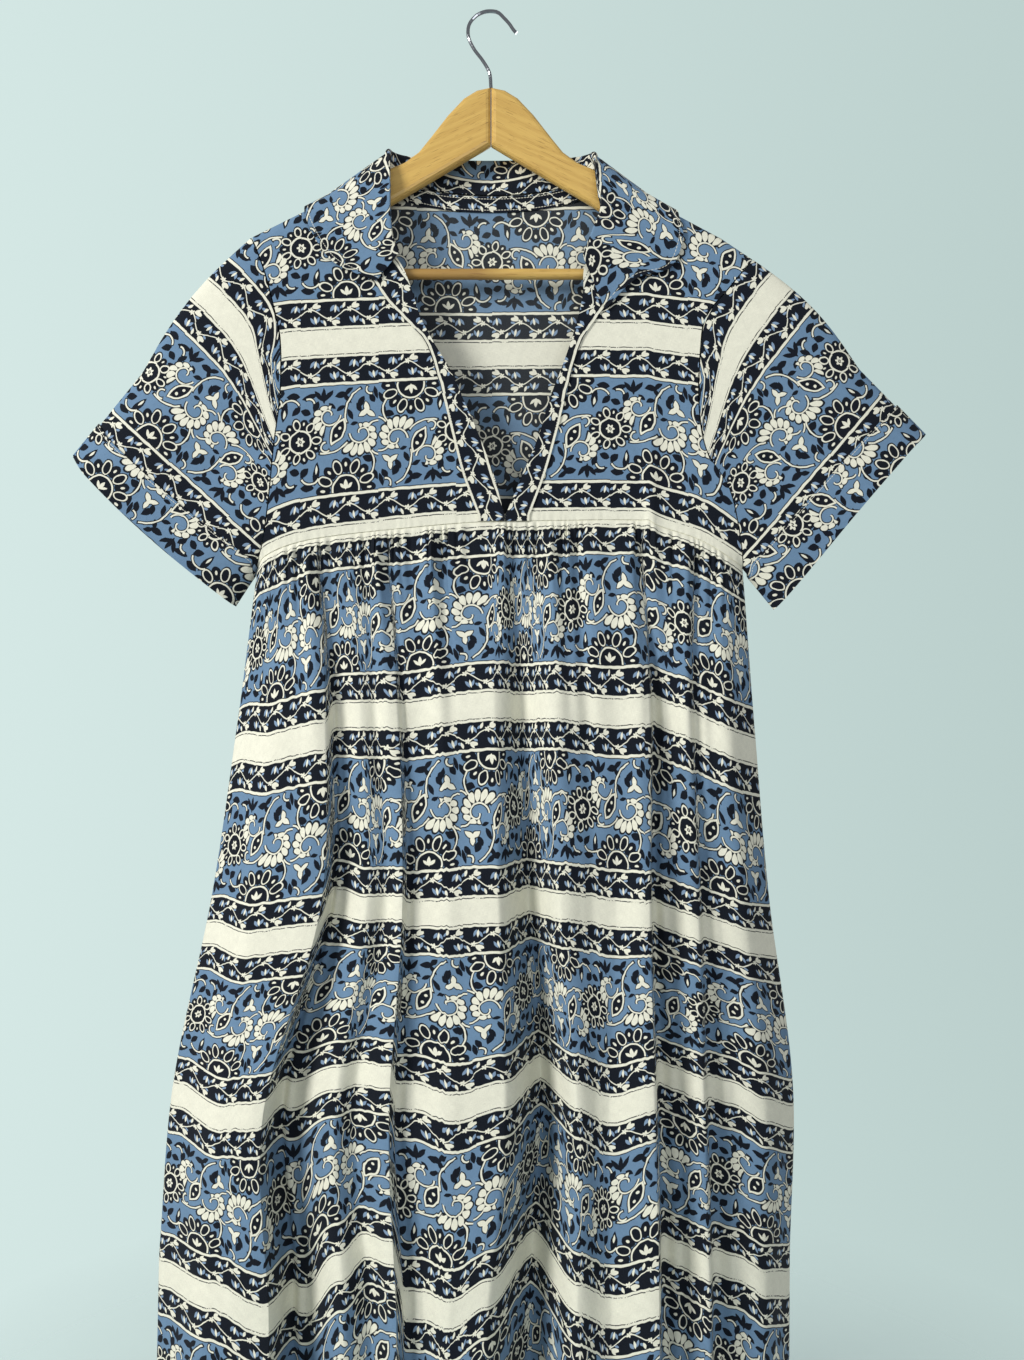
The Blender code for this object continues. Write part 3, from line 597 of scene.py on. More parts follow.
class Inks:
    """Adds maths nodes to one node tree. Every shape is a distance to its edge, under 0 inside."""

    def __init__(self, tree):
        self.tree = tree

    def node(self, kind, **settings):
        made = self.tree.nodes.new(kind)
        for name, value in settings.items():
            setattr(made, name, value)
        return made

    def feed(self, socket, value):
        if isinstance(value, bpy.types.NodeSocket):
            self.tree.links.new(value, socket)
        else:
            socket.default_value = value

    def maths(self, operation, *values, limit=False):
        made = self.node("ShaderNodeMath", operation=operation, use_clamp=limit)
        for socket, value in zip(made.inputs, values):
            self.feed(socket, value)
        return made.outputs[0]

    def plus(self, *values, limit=False):
        return self.maths("ADD", *values, limit=limit)

    def less(self, first, second):
        return self.maths("SUBTRACT", first, second)

    def times(self, first, second):
        return self.maths("MULTIPLY", first, second)

    def times_plus(self, value, factor, extra, limit=False):
        return self.maths("MULTIPLY_ADD", value, factor, extra, limit=limit)

    def absolute(self, value):
        return self.maths("ABSOLUTE", value)

    def vector(self, operation, *values):
        made = self.node("ShaderNodeVectorMath", operation=operation)
        for socket, value in zip(made.inputs, values):
            self.feed(socket, value)
        single = operation in ("LENGTH", "DISTANCE", "DOT_PRODUCT")
        return made.outputs["Value" if single else "Vector"]

    def noise(self, place, scale=1.0, detail=1.0, flat=True):
        made = self.node("ShaderNodeTexNoise", noise_dimensions="2D" if flat else "3D")
        self.feed(made.inputs["Vector"], place)
        made.inputs["Scale"].default_value = scale
        made.inputs["Detail"].default_value = detail
        return made.outputs[0]

    def parts(self, p):
        made = self.node("ShaderNodeSeparateXYZ")
        self.feed(made.inputs[0], p)
        return made.outputs[0], made.outputs[1]

    def point(self, x, y):
        made = self.node("ShaderNodeCombineXYZ")
        self.feed(made.inputs[0], x)
        self.feed(made.inputs[1], y)
        return made.outputs[0]

    def least(self, *shapes):
        found = shapes[0]
        for shape in shapes[1:]:
            found = self.maths("MINIMUM", found, shape)
        return found

    def most(self, *shapes):
        found = shapes[0]
        for shape in shapes[1:]:
            found = self.maths("MAXIMUM", found, shape)
        return found

    def outside(self, shape, gap=0.0):
        """The distance turned inside out: under 0 where the shape isn't."""
        return self.less(-gap, shape)

    def oval(self, p, x, y, half_length, half_width):
        scale = (1 / half_length, 1 / half_width, 0)
        q = self.vector("MULTIPLY_ADD", p, scale, (-x / half_length, -y / half_width, 0))
        small = min(half_length, half_width)
        return self.times_plus(self.vector("LENGTH", q), small, -small)

    def leaf(self, xy, x, y, half_length, half_width, turn=0.0):
        """A pointed leaf, turned by degrees. xy holds the two coordinates apart."""
        px, py = xy
        c, s = math.cos(math.radians(turn)), math.sin(math.radians(turn))
        along = self.times_plus(py, s / half_length, -(x * c + y * s) / half_length)
        along = self.times_plus(px, c / half_length, along)
        up = self.times_plus(py, c / half_width, (x * s - y * c) / half_width)
        up = self.absolute(self.times_plus(px, -s / half_width, up))
        edge = self.times_plus(along, along, up)
        return self.times_plus(edge, half_width, -half_width)

    def stem(self, p, x, y, radius, middle, half_angle):
        """Distance to the middle line of an arc about x, y, centred on an angle in degrees."""
        way = (math.cos(math.radians(middle)), math.sin(math.radians(middle)))
        reach = self.vector("DISTANCE", p, (x, y, 0))
        line = self.absolute(self.less(reach, radius))
        back = self.vector("DOT_PRODUCT", p, (-way[0], -way[1], 0))
        end = self.times_plus(reach, math.cos(math.radians(half_angle)), back)
        return self.most(line, self.plus(end, x * way[0] + y * way[1]))

    def inked(self, shape, soft=0.3):
        """1 inside a shape, 0 outside, with the soft edge of ink in cloth."""
        return self.times_plus(shape, -1 / soft, 0.5, limit=True)

    def bump(self, shader, height, strength):
        """Raises the shader's surface by up to 0.3 mm."""
        made = self.node("ShaderNodeBump")
        made.inputs["Strength"].default_value = strength
        made.inputs["Distance"].default_value = 0.3 * MM
        self.feed(made.inputs["Height"], height)
        self.feed(shader.inputs["Normal"], made.outputs[0])

    def choose(self, fac, first, second, kind="FLOAT"):
        """first where fac is 0 and second where it is 1."""
        made = self.node("ShaderNodeMix", data_type=kind)
        sockets = {"FLOAT": (2, 3, 0), "VECTOR": (4, 5, 1), "RGBA": (6, 7, 2)}[kind]
        self.feed(made.inputs[0], fac)
        self.feed(made.inputs[sockets[0]], first)
        self.feed(made.inputs[sockets[1]], second)
        return made.outputs[sockets[2]]


def new_group(name, inputs, outputs):
    """A node group with named sockets, and its first maths nodes."""
    tree = bpy.data.node_groups.new(name, "ShaderNodeTree")
    for socket_name, kind, value in inputs:
        socket = tree.interface.new_socket(socket_name, in_out="INPUT", socket_type=kind)
        if value is not None:
            socket.default_value = value
    for socket_name, kind in outputs:
        tree.interface.new_socket(socket_name, in_out="OUTPUT", socket_type=kind)
    start = tree.nodes.new("NodeGroupInput")
    end = tree.nodes.new("NodeGroupOutput")
    return tree, Inks(tree), start.outputs, end.inputs


def linear(r, g, b):
    """A screen colour, 0 to 255, as the linear colour that shaders use."""
    def one(value):
        value /= 255
        return value / 12.92 if value <= 0.04045 else ((value + 0.055) / 1.055) ** 2.4

    return (one(r), one(g), one(b), 1.0)


BLUE_INK = linear(106, 136, 166)
NAVY_INK = linear(9, 17, 30)
PALE_INK = linear(128, 152, 180)
CREAM_CLOTH = linear(231, 230, 213)
print("inks ready")

# %% [markdown]
# ## The flower field
#
# The wide blue bands hold a common traditional design: round flowers with a ring of petals, fans of
# cream petals that grow along a curled stem, buds and small dark leaves. The design looks the same
# upside down, so only half of each 152 mm repeat is drawn and the other half is that half turned
# round. Polar coordinates give the petals: the angle is folded, so one petal becomes a whole ring.

# %% Flower field group
REPEAT = 152.0
FIELD = 102.0


def petal_ring(ink, q, count, ring, middle, half_length, half_width, turn=0.0):
    """A flower: cream ring, then loops of cream between dark petals with a cream drop."""
    x, y = ink.parts(q)
    reach = ink.vector("LENGTH", q)
    angle = ink.maths("ARCTAN2", y, x)
    step = 2 * math.pi / count
    turned = ink.plus(angle, turn) if turn else angle
    loop_angle = ink.maths("PINGPONG", turned, step)
    dark_angle = ink.less(step, loop_angle)
    found = []
    for part in (loop_angle, dark_angle):
        along = ink.times(reach, ink.maths("COSINE", part))
        aside = ink.times(reach, ink.maths("SINE", part))
        found.append(ink.point(along, aside))
    loop = ink.oval(found[0], middle, 0, half_length, half_width)
    drop = ink.oval(found[0], middle - 0.2, 0, half_length - 1.35, half_width - 1.2)
    dark = ink.oval(found[1], middle, 0, half_length, half_width + 0.5)
    bead = ink.oval(found[1], middle + 0.8, 0, half_length * 0.3, half_width * 0.26)
    ring_line = ink.absolute(ink.less(reach, ring))
    ring_line = ink.less(ring_line, 0.8)
    disc = ink.less(reach, ring)
    cream = ink.least(ring_line, ink.most(loop, ink.outside(drop)), bead)
    navy = ink.least(disc, drop, dark)
    return cream, navy, reach, angle


print("one print repeat is", REPEAT, "mm wide, its field", FIELD, "mm high")

# %% Leaves and stems of the field
# x, y, half length, half width and turn of each small dark leaf
FIELD_LEAVES = (
    (59.0, 84.5, 6.4, 3.0, 62), (57.0, 79.5, 5.2, 2.4, 120), (22.8, 92.5, 7.2, 2.1, 90),
    (18.0, 92.4, 6.4, 2.0, 128), (27.6, 92.4, 6.4, 2.0, 52), (40.0, 92.5, 6.6, 3.0, 8),
    (45.6, 88.6, 5.4, 2.0, -50), (46.8, 96.0, 5.0, 2.2, 40), (48.6, 73.4, 5.6, 2.2, -64),
    (39.2, 79.6, 4.6, 2.0, 28), (69.8, 88.0, 5.0, 2.6, -58), (73.2, 93.4, 6.2, 1.9, 104),
    (66.0, 30.5, 5.4, 3.4, -15), (72.6, 15.2, 6.2, 2.4, -62), (62.0, 9.5, 6.0, 2.2, 60),
    (9.6, 92.0, 7.6, 2.8, 14), (5.4, 78.2, 5.0, 3.0, 158), (15.4, 82.6, 5.4, 2.6, 66),
    (6.6, 8.6, 6.6, 3.4, -8), (3.6, 22.4, 5.6, 3.2, 42), (15.4, 20.0, 10.4, 3.0, 82),
    (71.4, 26.6, 4.4, 2.2, 70), (52.0, 64.6, 3.6, 1.6, 15), (30.6, 82.4, 4.2, 1.8, -40),
    (12.0, 71.0, 4.2, 1.7, 20),
)

# centre, radius, middle angle and half angle of each arc of cream stem
FIELD_STEMS = (
    (71.5, 73.5, 27.8, 157, 36), (25.5, 65.0, 27.0, -73, 28), (24.8, 44.0, 4.6, 205, 100),
    (55.4, 26.5, 16.2, -2, 44), (78.0, 43.8, 10.4, 250, 30), (74.6, 56.4, 9.6, 112, 36),
    (68.6, 97.0, 4.6, 215, 60), (10.0, 21.0, 9.5, 265, 55), (8.0, 84.5, 6.0, 60, 40),
)
print("field:", len(FIELD_LEAVES), "leaves and", len(FIELD_STEMS), "stems in half a repeat")

# %% Drawing the field


def draw_field(ink, x, y):
    """Distances to the cream and the navy shapes of the field."""
    # round flower, whole, in the middle of the drawn width
    p = ink.point(x, ink.less(y, FIELD / 2))
    cream_a, navy_a, reach, angle = petal_ring(ink, p, 14, 10.2, 15.9, 5.1, 3.6)
    small = ink.maths("COSINE", ink.times(angle, 6))
    star = ink.less(reach, ink.times_plus(small, 0.9, 3.8))
    dot = ink.less(reach, 0.6)
    cream_a = ink.least(cream_a, ink.most(star, ink.less(1.6, reach)), dot)
    # half turn: from here on x runs from 0 to half the repeat
    turned = ink.maths("LESS_THAN", x, 0)
    fx = ink.absolute(x)
    fy = ink.choose(turned, y, ink.less(FIELD, y))
    p = ink.point(fx, fy)
    xy = (fx, fy)
    # half flower rising from the lower line
    q = ink.vector("SUBTRACT", p, (44.4, 3.5, 0))
    cream_b, navy_b, _, _ = petal_ring(ink, q, 16, 12.9, 21.9, 7.2, 4.5, math.pi / 8)
    bud = ink.least(
        ink.leaf(xy, 44.4, 7.4, 4.8, 1.9, 90),
        ink.leaf(xy, 41.0, 6.4, 3.8, 1.4, 135),
        ink.leaf(xy, 47.8, 6.4, 3.8, 1.4, 45),
    )
    cream_b = ink.least(cream_b, bud)
    # two fans of petals on curled stems, one the mirror of the other across the dark leaf
    beyond = ink.vector("DOT_PRODUCT", p, (0.879, -0.476, 0))
    right = ink.maths("GREATER_THAN", beyond, 0.879 * 30.4 - 0.476 * 46)
    fan_right = ink.vector("SUBTRACT", p, (59.3, 55.2, 0))
    fan_left = ink.vector("MULTIPLY_ADD", p, (-1, 1, 1), (27.4, -73.4, 0))
    qx, qy = ink.parts(ink.choose(right, fan_left, fan_right, "VECTOR"))
    # the angle runs from -pi at the curled tip to pi at the end that joins the stem
    around = ink.maths("ARCTAN2", ink.times(qy, -1), qx)
    reach = ink.maths("SQRT", ink.times_plus(qx, qx, ink.times(qy, qy)))
    spine = ink.less(ink.times_plus(around, -1.45, reach), 7.0)
    length = ink.maths("MAXIMUM", ink.times_plus(around, 2.7, 7.6), 5.0)
    count = ink.times_plus(around, 0.27, 1.75)
    aside = ink.maths("PINGPONG", ink.times_plus(count, around, 0.5), 0.5)
    out = ink.maths("DIVIDE", ink.less(spine, 0.5), length)
    lobe = ink.point(ink.times_plus(out, 2, -1), ink.times(aside, 2.0))
    lobe = ink.times_plus(ink.vector("LENGTH", lobe), 2.9, -2.7)
    last = ink.choose(right, 1.25, 2.5)
    past = ink.times(ink.less(around, last), 9)
    before = ink.times_plus(around, -9, -9 * 1.9)
    lobe = ink.most(lobe, past, before)
    stems = ink.least(ink.absolute(spine), *[ink.stem(p, *arc) for arc in FIELD_STEMS])
    stems = ink.less(stems, 0.75)
    # leaf between the fans, with dots
    blade = ink.leaf(xy, 36.4, 57.6, 14.2, 6.6, 61.6)
    core = ink.leaf(xy, 36.4, 57.6, 11.4, 4.9, 61.6)
    dots = ink.least(ink.oval(p, 34.8, 53.8, 1.5, 1.5), ink.oval(p, 38.2, 60.8, 1.5, 1.5))
    # bud of three cream petals
    petals = ink.least(
        ink.leaf(xy, 64.6, 79.6, 5.2, 2.3, 100),
        ink.leaf(xy, 61.2, 73.8, 5.0, 2.2, 215),
        ink.leaf(xy, 67.8, 73.6, 5.4, 2.4, -35),
        ink.oval(p, 64.4, 76, 2.6, 2.3),
    )
    leaves = ink.least(*[ink.leaf(xy, *leaf) for leaf in FIELD_LEAVES])
    seed = ink.leaf(xy, 15.6, 23.6, 4.0, 1.1, 82)
    clear = ink.outside(blade, -0.3)
    cream = ink.least(ink.most(lobe, clear), ink.most(stems, clear), petals)
    cream = ink.most(cream, ink.outside(navy_b, -0.3))
    cream = ink.least(cream, cream_b, ink.most(blade, ink.outside(core)), dots, seed, cream_a)
    leaves = ink.less(leaves, 0.25)
    navy = ink.least(leaves, core, navy_a, navy_b, ink.less(cream, 0.95))
    return cream, navy


# %% [markdown]
# ## The vine band
#
# Between the fields run narrow navy bands with a cream vine. It is one wave of stem with a flower on
# each crest and a pair of leaves after it. The lower crest is the upper one turned round, so half a
# wave is drawn.

# %% Vine band shapes
VINE = 38.0


def draw_vine(ink, x, y):
    """Distances to the cream and the light blue shapes on a navy band."""
    wave = ink.maths("SINE", ink.times(x, 2 * math.pi / VINE))
    stem = ink.absolute(ink.times_plus(wave, -4.6, y))
    stem = ink.times_plus(stem, 0.85, -0.5)
    lower = ink.maths("GREATER_THAN", ink.maths("FLOORED_MODULO", x, VINE), VINE / 2)
    fx = ink.maths("FLOORED_MODULO", x, VINE / 2)
    fy = ink.choose(lower, y, ink.times(y, -1))
    xy = (fx, fy)
    qx = ink.less(fx, VINE / 4)
    qy = ink.less(fy, 4.8)
    reach = ink.maths("SQRT", ink.times_plus(qx, qx, ink.times(qy, qy)))
    turn = ink.times(ink.maths("ARCTAN2", qy, qx), 5)
    edge = ink.times_plus(ink.maths("COSINE", turn), 0.65, 2.2)
    flower = ink.most(ink.less(reach, edge), ink.less(0.6, reach))
    leaves = ink.least(
        ink.leaf(xy, 15.4, 7.6, 4.8, 2.0, 10),
        ink.leaf(xy, 13.6, 9.2, 3.6, 1.5, 48),
        ink.leaf(xy, 14.2, -5.6, 3.8, 1.2, 100),
        ink.leaf(xy, 4.2, 8.4, 3.2, 1.3, 70),
    )
    cream = ink.least(stem, flower, leaves)
    blue = ink.least(
        ink.leaf(xy, 11.4, -6.0, 3.8, 1.4, 122),
        ink.leaf(xy, 16.8, -5.0, 3.2, 1.3, 66),
        ink.leaf(xy, 2.0, 7.0, 3.0, 1.2, 30),
        ink.leaf(xy, 17.2, 4.4, 2.8, 1.1, 20),
    )
    return cream, blue


# %% [markdown]
# ## The whole print
#
# Upwards, every 186 mm of cloth repeats a field, a cream line, a vine band, a plain band with two
# thin broken lines, a vine band and a cream line. Hand printing never lands quite true: each block
# sits a little high or low, the ink soaks out unevenly, and the colour is stronger in some places.

# %% Block print group
BAND_PERIOD = 186.0
PLAIN_MIDDLE = 144.0
PLAIN_HALF = 15.0
VINE_MIDDLE = 27.0
FIELD_FROM = 42.0
# distance from the middle of the plain band, and half width, of its broken line and the two borders
BAND_LINES = ((12.2, 0.45), (42.3, 0.45), (40.6, 1.3))


def make_block_print():
    tree, ink, start, end = new_group(
        "block_print",
        [("Vector", "NodeSocketVector", None), ("Wear", "NodeSocketFloat", 0.0)],
        [("Color", "NodeSocketColor")],
    )
    p = ink.vector("SCALE", start["Vector"])
    p.node.inputs["Scale"].default_value = 1 / MM
    wobble = ink.noise(p, 0.11)
    p = ink.vector("MULTIPLY_ADD", wobble, (1.6, -1.3, 0), p)
    u, v = ink.parts(p)
    block = ink.maths("FLOOR", ink.maths("DIVIDE", u, REPEAT / 2))
    jump = ink.node("ShaderNodeTexWhiteNoise", noise_dimensions="1D")
    ink.feed(jump.inputs["W"], block)
    v = ink.plus(v, ink.times_plus(jump.outputs["Value"], 1.8, -0.9))
    half = BAND_PERIOD / 2
    away = ink.less(v, PLAIN_MIDDLE - half)
    away = ink.less(ink.maths("FLOORED_MODULO", away, BAND_PERIOD), half)
    w = ink.absolute(away)
    across = ink.maths("FLOORED_MODULO", ink.plus(u, REPEAT / 2), REPEAT)
    across = ink.less(across, REPEAT / 2)
    up = ink.maths("FLOORED_MODULO", v, BAND_PERIOD)
    field_cream, field_navy = draw_field(ink, across, up)
    vine_cream, vine_blue = draw_vine(ink, u, ink.less(w, VINE_MIDDLE))
    grain = ink.noise(p, 0.9)
    speck = ink.times_plus(grain, 0.5, -0.25)
    field_navy = ink.plus(field_navy, speck)
    field = ink.choose(ink.inked(field_navy), BLUE_INK, NAVY_INK, "RGBA")
    field = ink.choose(ink.inked(field_cream), field, CREAM_CLOTH, "RGBA")
    band = ink.choose(ink.inked(vine_blue), NAVY_INK, PALE_INK, "RGBA")
    band = ink.choose(ink.inked(vine_cream), band, CREAM_CLOTH, "RGBA")
    broken = ink.maths("GREATER_THAN", ink.plus(wobble, grain), 0.86)
    lines = []
    for middle, half_width in BAND_LINES:
        apart = ink.absolute(ink.less(w, middle))
        lines.append(ink.inked(ink.less(apart, half_width)))
    thin, dark_line, cream_line = lines
    plain = ink.choose(ink.times(thin, broken), CREAM_CLOTH, NAVY_INK, "RGBA")
    colour = ink.choose(ink.inked(ink.less(PLAIN_HALF, w)), plain, band, "RGBA")
    colour = ink.choose(ink.inked(ink.less(FIELD_FROM, w)), colour, field, "RGBA")
    colour = ink.choose(dark_line, colour, NAVY_INK, "RGBA")
    colour = ink.choose(cream_line, colour, CREAM_CLOTH, "RGBA")
    worn = ink.times(grain, start["Wear"])
    colour = ink.choose(worn, colour, CREAM_CLOTH, "RGBA")
    colour = ink.vector("SCALE", colour)
    ink.feed(colour.node.inputs["Scale"], ink.times_plus(wobble, 0.12, 0.94))
    ink.feed(end["Color"], colour)
    print("block print nodes:", len(tree.nodes))
    return tree


BLOCK_PRINT = make_block_print()

# %% [markdown]
# ## The cotton itself
#
# Hand-loomed cotton is matt and slightly uneven: some threads are thicker and show as short slubs
# along and across. A fine bump from two stretched noises gives them. Seams are stitched a few
# millimetres in, and the stitches sit in a shallow groove.

# %% Weave and stitch groups


def make_weave():
    tree, ink, start, end = new_group(
        "slub_weave",
        [("Vector", "NodeSocketVector", None)],
        [("Height", "NodeSocketFloat"), ("Tone", "NodeSocketFloat")],
    )
    heights = []
    for scale in ((260, 3200, 1), (3200, 260, 1)):
        heights.append(ink.noise(ink.vector("MULTIPLY", start["Vector"], scale)))
    height = ink.plus(*heights)
    ink.feed(end["Height"], ink.times(height, 0.5))
    ink.feed(end["Tone"], ink.times_plus(height, 0.22, 0.78))
    return tree


def make_stitch():
    """Stitches along an edge: Vector holds the distance along and in from it, in metres."""
    tree, ink, start, end = new_group(
        "edge_stitch",
        [("Vector", "NodeSocketVector", None)],
        [("Thread", "NodeSocketFloat"), ("Groove", "NodeSocketFloat")],
    )
    p = ink.vector("SCALE", start["Vector"])
    p.node.inputs["Scale"].default_value = 1 / MM
    along, inward = ink.parts(p)
    along = ink.less(ink.maths("FLOORED_MODULO", along, 2.9), 1.45)
    inward = ink.less(inward, 2.2)
    q = ink.point(along, inward)
    thread = ink.inked(ink.oval(q, 0, 0, 1.1, 0.32), 0.2)
    groove = ink.times(ink.absolute(inward), -0.8)
    groove = ink.plus(groove, 1, limit=True)
    ink.feed(end["Thread"], thread)
    ink.feed(end["Groove"], groove)
    return tree


WEAVE = make_weave()
STITCH = make_stitch()

# %% Cotton materials, right side and wrong side


def cotton(name, wear, paler):
    """Printed cotton. paler mixes in the unprinted cloth that shows on the wrong side."""
    made = bpy.data.materials.new(name)
    made.use_nodes = True
    tree = made.node_tree
    ink = Inks(tree)
    shader = tree.nodes["Principled BSDF"]
    cloth_map = ink.node("ShaderNodeUVMap", uv_map="cloth").outputs[0]
    edge_map = ink.node("ShaderNodeUVMap", uv_map="edge").outputs[0]
    groups = []
    for group, where in ((BLOCK_PRINT, cloth_map), (WEAVE, cloth_map), (STITCH, edge_map)):
        node = ink.node("ShaderNodeGroup", node_tree=group)
        ink.feed(node.inputs["Vector"], where)
        groups.append(node)
    printed, weave, stitch = groups
    printed.inputs["Wear"].default_value = wear
    colour = printed.outputs["Color"]
    if paler:
        colour = ink.choose(paler, colour, linear(176, 186, 190), "RGBA")
    thread, height = stitch.outputs["Thread"], weave.outputs["Height"]
    colour = ink.choose(thread, colour, linear(222, 220, 205), "RGBA")
    toned = ink.vector("SCALE", colour)
    ink.feed(toned.node.inputs["Scale"], weave.outputs["Tone"])
    ink.feed(shader.inputs["Base Color"], toned)
    ink.feed(shader.inputs["Roughness"], ink.times_plus(height, 0.12, 0.78))
    shader.inputs["Specular IOR Level"].default_value = 0.10
    shader.inputs["Sheen Weight"].default_value = 0.04
    shader.inputs["Sheen Roughness"].default_value = 0.5
    raised = ink.times_plus(thread, 1.2, height)
    raised = ink.less(raised, stitch.outputs["Groove"])
    ink.bump(shader, raised, 0.35)
    return made


COTTON = cotton("block_printed_cotton", 0.012, 0.0)
COTTON_INSIDE = cotton("block_printed_cotton_inside", 0.03, 0.04)
print("cotton nodes:", len(COTTON.node_tree.nodes))

# %% [markdown]
# ## Studio
#
# The photo has soft light from the upper left in front of a pale blue-green wall. The wall here is
# the world itself, with painted shade that makes it a little darker on the right as in the photo.
# The dress gets a dimmer, neutral light from all round, one large lamp at the left as the key, and
# weaker lamps on the right and behind. A pale floor lies under the hem and fades out before it could
# cross the picture.

# %% Floor
FLOOR_LEVEL = -1.70
FLOOR_RADIUS = 1.1


def pale_floor():
    """A round pale floor whose rim turns clear."""
    bpy.ops.object.select_all(action="DESELECT")
    bpy.ops.mesh.primitive_circle_add(
        vertices=96, radius=FLOOR_RADIUS, fill_type="NGON", location=(0, 0, FLOOR_LEVEL)
    )
    made = bpy.context.active_object
    made.name = "pale_floor"
    bpy.ops.object.transform_apply(location=True, rotation=True, scale=True)
    paint = bpy.data.materials.new("pale_floor_paint")
    paint.use_nodes = True
    ink = Inks(paint.node_tree)
    shader = paint.node_tree.nodes["Principled BSDF"]
    place = ink.node("ShaderNodeTexCoord").outputs["Object"]
    clouds = ink.noise(place, 9, 2, flat=False)
    mixed = ink.choose(clouds, linear(200, 219, 217), linear(208, 227, 224), "RGBA")
    ink.feed(shader.inputs["Base Color"], mixed)
    reach = ink.vector("LENGTH", ink.vector("MULTIPLY", place, (1, 1, 0)))
    fade = ink.times_plus(reach, -1.8, 1.8 * FLOOR_RADIUS, limit=True)
    ink.feed(shader.inputs["Alpha"], fade)
    shader.inputs["Roughness"].default_value = 0.9
    made.data.materials.append(paint)
    return made


pale_floor()
print("floor", FLOOR_LEVEL, "m")

# %% Wall and lamps
WALL_LEFT = linear(213, 232, 229)
# the darker right-hand wall tone is painted shade, where less light falls on the wall
WALL_RIGHT_PAINTED_SHADE = linear(184, 204, 201)


def pale_wall():
    """The world: a wall tone for the eye, with painted shade that darkens it towards the right, and a
    neutral soft light for the cloth.
    """
    world = bpy.data.worlds.new("pale_wall_light")
    bpy.context.scene.world = world
    world.use_nodes = True
    tree = world.node_tree
    tree.nodes.clear()
    ink = Inks(tree)
    x, y = ink.parts(ink.node("ShaderNodeTexCoord").outputs["Generated"])
    # painted shade: the wall seen by the eye turns from the left tone to the darker right tone
    side = ink.times_plus(x, 1.0, 0.45, limit=True)
    wall = ink.node("ShaderNodeBackground")
    ink.feed(wall.inputs["Color"], ink.choose(side, WALL_LEFT, WALL_RIGHT_PAINTED_SHADE, "RGBA"))
    light = ink.node("ShaderNodeBackground")
    light.inputs["Color"].default_value = (0.96, 0.99, 1.0, 1)
    light.inputs["Strength"].default_value = 0.36
    seen = ink.node("ShaderNodeLightPath").outputs["Is Camera Ray"]
    both = ink.node("ShaderNodeMixShader")
    for socket, value in zip(both.inputs, (seen, light.outputs[0], wall.outputs[0])):
        ink.feed(socket, value)
    ink.feed(ink.node("ShaderNodeOutputWorld").inputs["Surface"], both.outputs[0])


def lamp(name, size, power, place, aim, colour=(1, 1, 1)):
    data = bpy.data.lights.new(name, "AREA")
    data.shape = "RECTANGLE"
    data.size, data.size_y = size
    data.energy = power
    data.color = colour
    made = bpy.data.objects.new(name, data)
    made.location = place
    made.rotation_euler = (Vector(aim) - Vector(place)).to_track_quat("-Z", "Y").to_euler()
    bpy.context.scene.collection.objects.link(made)
    return made


pale_wall()
middle = (0.0, 0.0, -0.75)
lamp("key_left", (0.9, 1.3), 80, (-2.3, -1.8, 0.45), middle, (1, 0.985, 0.95))
lamp("fill_front", (1.3, 1.0), 13, (0.8, -2.7, 0.2), (0, 0, -0.5), (0.96, 0.98, 1))
lamp("back_soft", (1.6, 1.6), 40, (1.4, 2.6, 0.4), (0, 0, -0.7))
bpy.context.scene.view_settings.view_transform = "Standard"
print("lamps:", len(bpy.data.lights))

# %% [markdown]
# ## Making a sheet
#
# Each panel is a grid of quads with two UV maps. "cloth" holds the place on the uncut printed
# cotton in metres, so the print follows the cloth into every fold. "edge" holds the distance along
# and in from the sewn edge, which the stitching needs. A Solidify modifier then gives the cloth its
# thickness and an inner face, which takes the paler material of the wrong side.

# %% Grids of points
# a place on the "edge" map that is far from any stitching, in millimetres
FAR = 1000.0


def grid_points(point_at, across, down):
    """Points in millimetres, one row for each place down and one column for each across."""
    return np.array([[tuple(point_at(s, t)) for s in across] for t in down], float)


def even(count, start=0.0, end=1.0):
    return [start + (end - start) * n / count for n in range(count + 1)]


def run_lengths(points, axis):
    """Length along the rows (axis 1) or columns (axis 0), from the first point."""
    steps = np.linalg.norm(np.diff(points, axis=axis), axis=2)
    start = np.zeros_like(points[:, :1, 0] if axis == 1 else points[:1, :, 0])
    return np.concatenate([start, np.cumsum(steps, axis=axis)], axis=axis)


# %% Sheet maker


